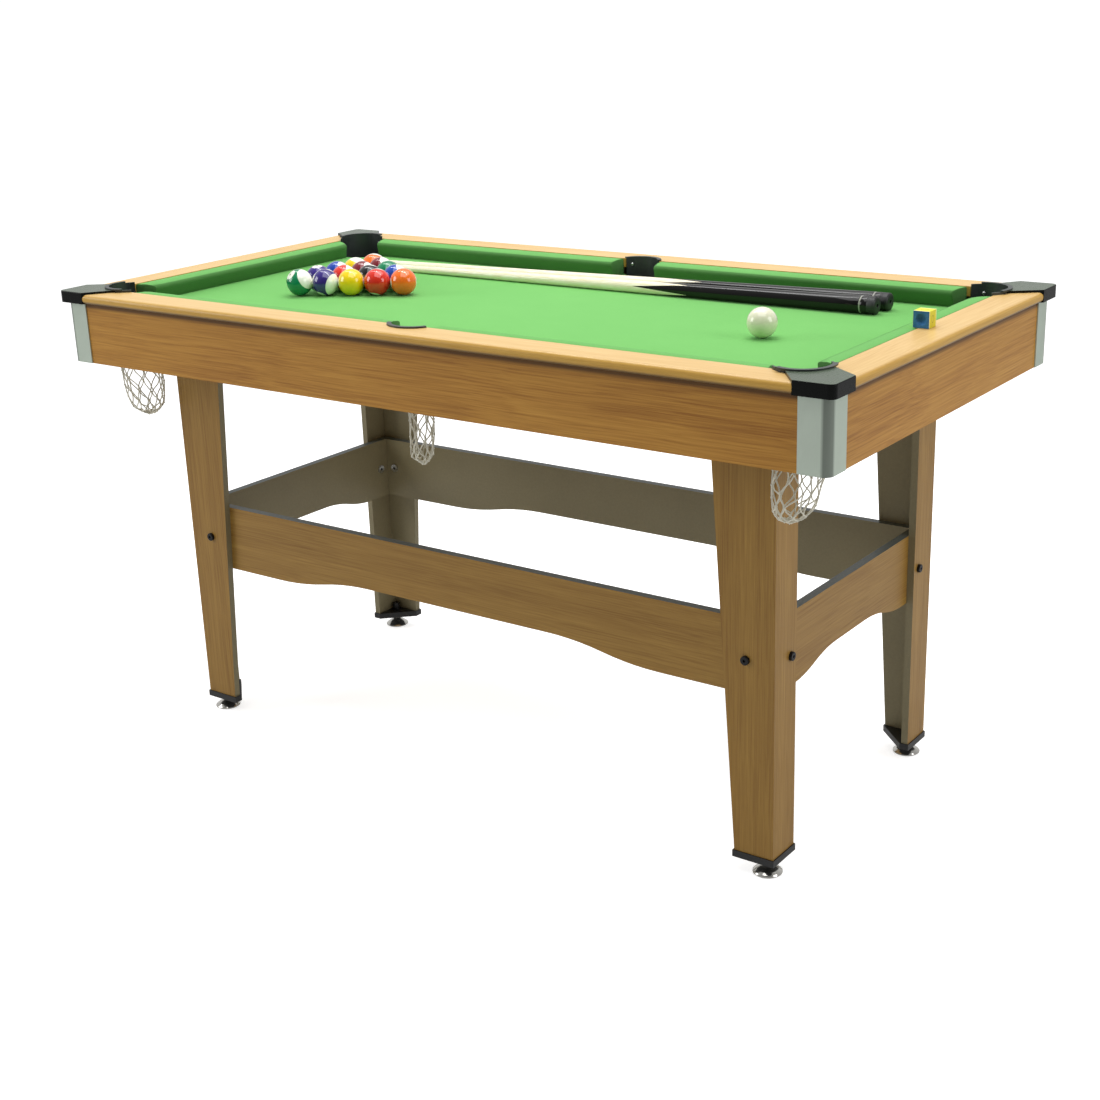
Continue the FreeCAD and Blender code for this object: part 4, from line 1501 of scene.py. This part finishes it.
# Each light's name, place, aim, width and height in metres, and watts.
LIGHTS = (
    ("overhead", (0.2, 0.1, 3.0), (0, 0, 0.8), (3.2, 2.2), 54),
    ("strip", (-0.6, 0.3, 2.4), (-0.6, 0.25, 0.8), (2.2, 0.12), 11),
    ("left", (-2.6, -1.9, 1.9), (-0.6, -0.3, 0.6), (1.5, 1.5), 32),
    ("right", (3.0, 0.2, 1.9), (0.7, 0, 0.6), (1.4, 1.6), 23),
)


@dataclass
class Studio:
    """Camera, lights and floor."""

    place: Point = (1.68624, -2.24981, 1.30971)
    azimuth: float = math.radians(36.674)
    elevation: float = math.radians(19.009)
    roll: float = -0.03599
    lens: float = 55.322
    near_glow: float = 0.07
    far_glow: float = 0.8
    world_seen: float = 1.05
    floor_glow: float = 0.7
    floor_bounce: float = 0.55
    bounce_glow: float = 0.27

    def camera(self) -> None:
        """Places the camera."""
        a, e = self.azimuth, self.elevation
        back = Vector((math.sin(a) * math.cos(e), -math.cos(a) * math.cos(e), math.sin(e)))
        right = Vector((math.cos(a), math.sin(a), 0))
        up = back.cross(right)
        c, s = math.cos(self.roll), math.sin(self.roll)
        columns = (c * right + s * up, c * up - s * right, back)
        turn = Matrix(columns).transposed().to_4x4()
        data = bpy.data.cameras.new("camera")
        data.sensor_width = 36
        data.lens = self.lens
        made = bpy.data.objects.new("camera", data)
        made.matrix_world = Matrix.Translation(self.place) @ turn
        bpy.context.scene.collection.objects.link(made)
        bpy.context.scene.camera = made

    def light(self, name: str, place: Point, aim: Point, size: tuple[float, float], power: float) -> None:
        """One soft rectangular light.

        Args:
            name: Light name.
            place: Where it stands.
            aim: What it points at.
            size: Width and height.
            power: Power in watts.
        """
        data = bpy.data.lights.new(name, "AREA")
        data.shape = "RECTANGLE"
        data.size, data.size_y = size
        data.energy = power
        made = bpy.data.objects.new(name, data)
        away = Vector(place) - Vector(aim)
        made.location = place
        made.rotation_euler = away.to_track_quat("Z", "Y").to_euler()
        bpy.context.scene.collection.objects.link(made)

    def world(self) -> None:
        """A white surround that lights softly and looks pure white."""
        world = bpy.data.worlds.new("surround")
        world.use_nodes = True
        graph = Graph(world.node_tree)
        seen = graph.node("ShaderNodeLightPath", output="Is Camera Ray")
        across, ahead, up = graph.split(graph.node("ShaderNodeTexCoord", output="Generated"))
        facing = ahead * math.cos(self.azimuth) - across * math.sin(self.azimuth)
        glow = graph.clamp(facing * 0.5 + 0.5) * (self.far_glow - self.near_glow) + self.near_glow
        strength = graph.node("ShaderNodeMix", {"data_type": "FLOAT"}, {0: seen, 2: glow, 3: self.world_seen})
        shader = graph.node("ShaderNodeBackground", inputs={"Color": (1, 1, 1), "Strength": strength})
        graph.node("ShaderNodeOutputWorld", inputs={"Surface": shader})
        bpy.context.scene.world = world

    def floor(self) -> None:
        """A plain pale floor."""
        shape = bmesh.new()
        bmesh.ops.create_grid(shape, x_segments=1, y_segments=1, size=7)
        mesh = bpy.data.meshes.new("floor")
        shape.to_mesh(mesh)
        shape.free()
        material, graph = fresh("pale_floor")
        speck = graph.noise(graph.place(), 3, 2)
        seen = graph.node("ShaderNodeLightPath", output="Is Camera Ray")
        bounce = (self.floor_bounce,) * 3
        pale = graph.mix(seen, bounce, graph.mix(speck, (0.88, 0.88, 0.88), (0.92, 0.92, 0.92)))
        glow = graph.mix(seen, (self.bounce_glow,) * 3, (self.floor_glow,) * 3)
        graph.finish(
            {
                "Base Color": pale,
                "Roughness": 0.9,
                "Specular IOR Level": 0.0,
                "Emission Color": glow,
                "Emission Strength": 1.0,
            }
        )
        mesh.materials.append(material)
        made = bpy.data.objects.new("floor", mesh)
        bpy.context.scene.collection.objects.link(made)

    def build(self) -> None:
        """Sets up the whole studio."""
        self.camera()
        self.world()
        self.floor()
        for name, place, aim, size, power in LIGHTS:
            self.light(name, place, aim, size, power)
        bpy.context.scene.view_settings.view_transform = "Standard"


def main() -> None:
    """Builds the looks in order."""
    logging.basicConfig(level=logging.INFO, format="%(message)s")
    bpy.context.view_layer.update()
    Studio().build()
    Cabinet().dress()
    Stand().dress()
    BedCloth().build()
    Cushions().build()
    Nets().build()
    Balls().build()
    Cues().build()
    Chalk().build()


if __name__ == "__main__":
    main()
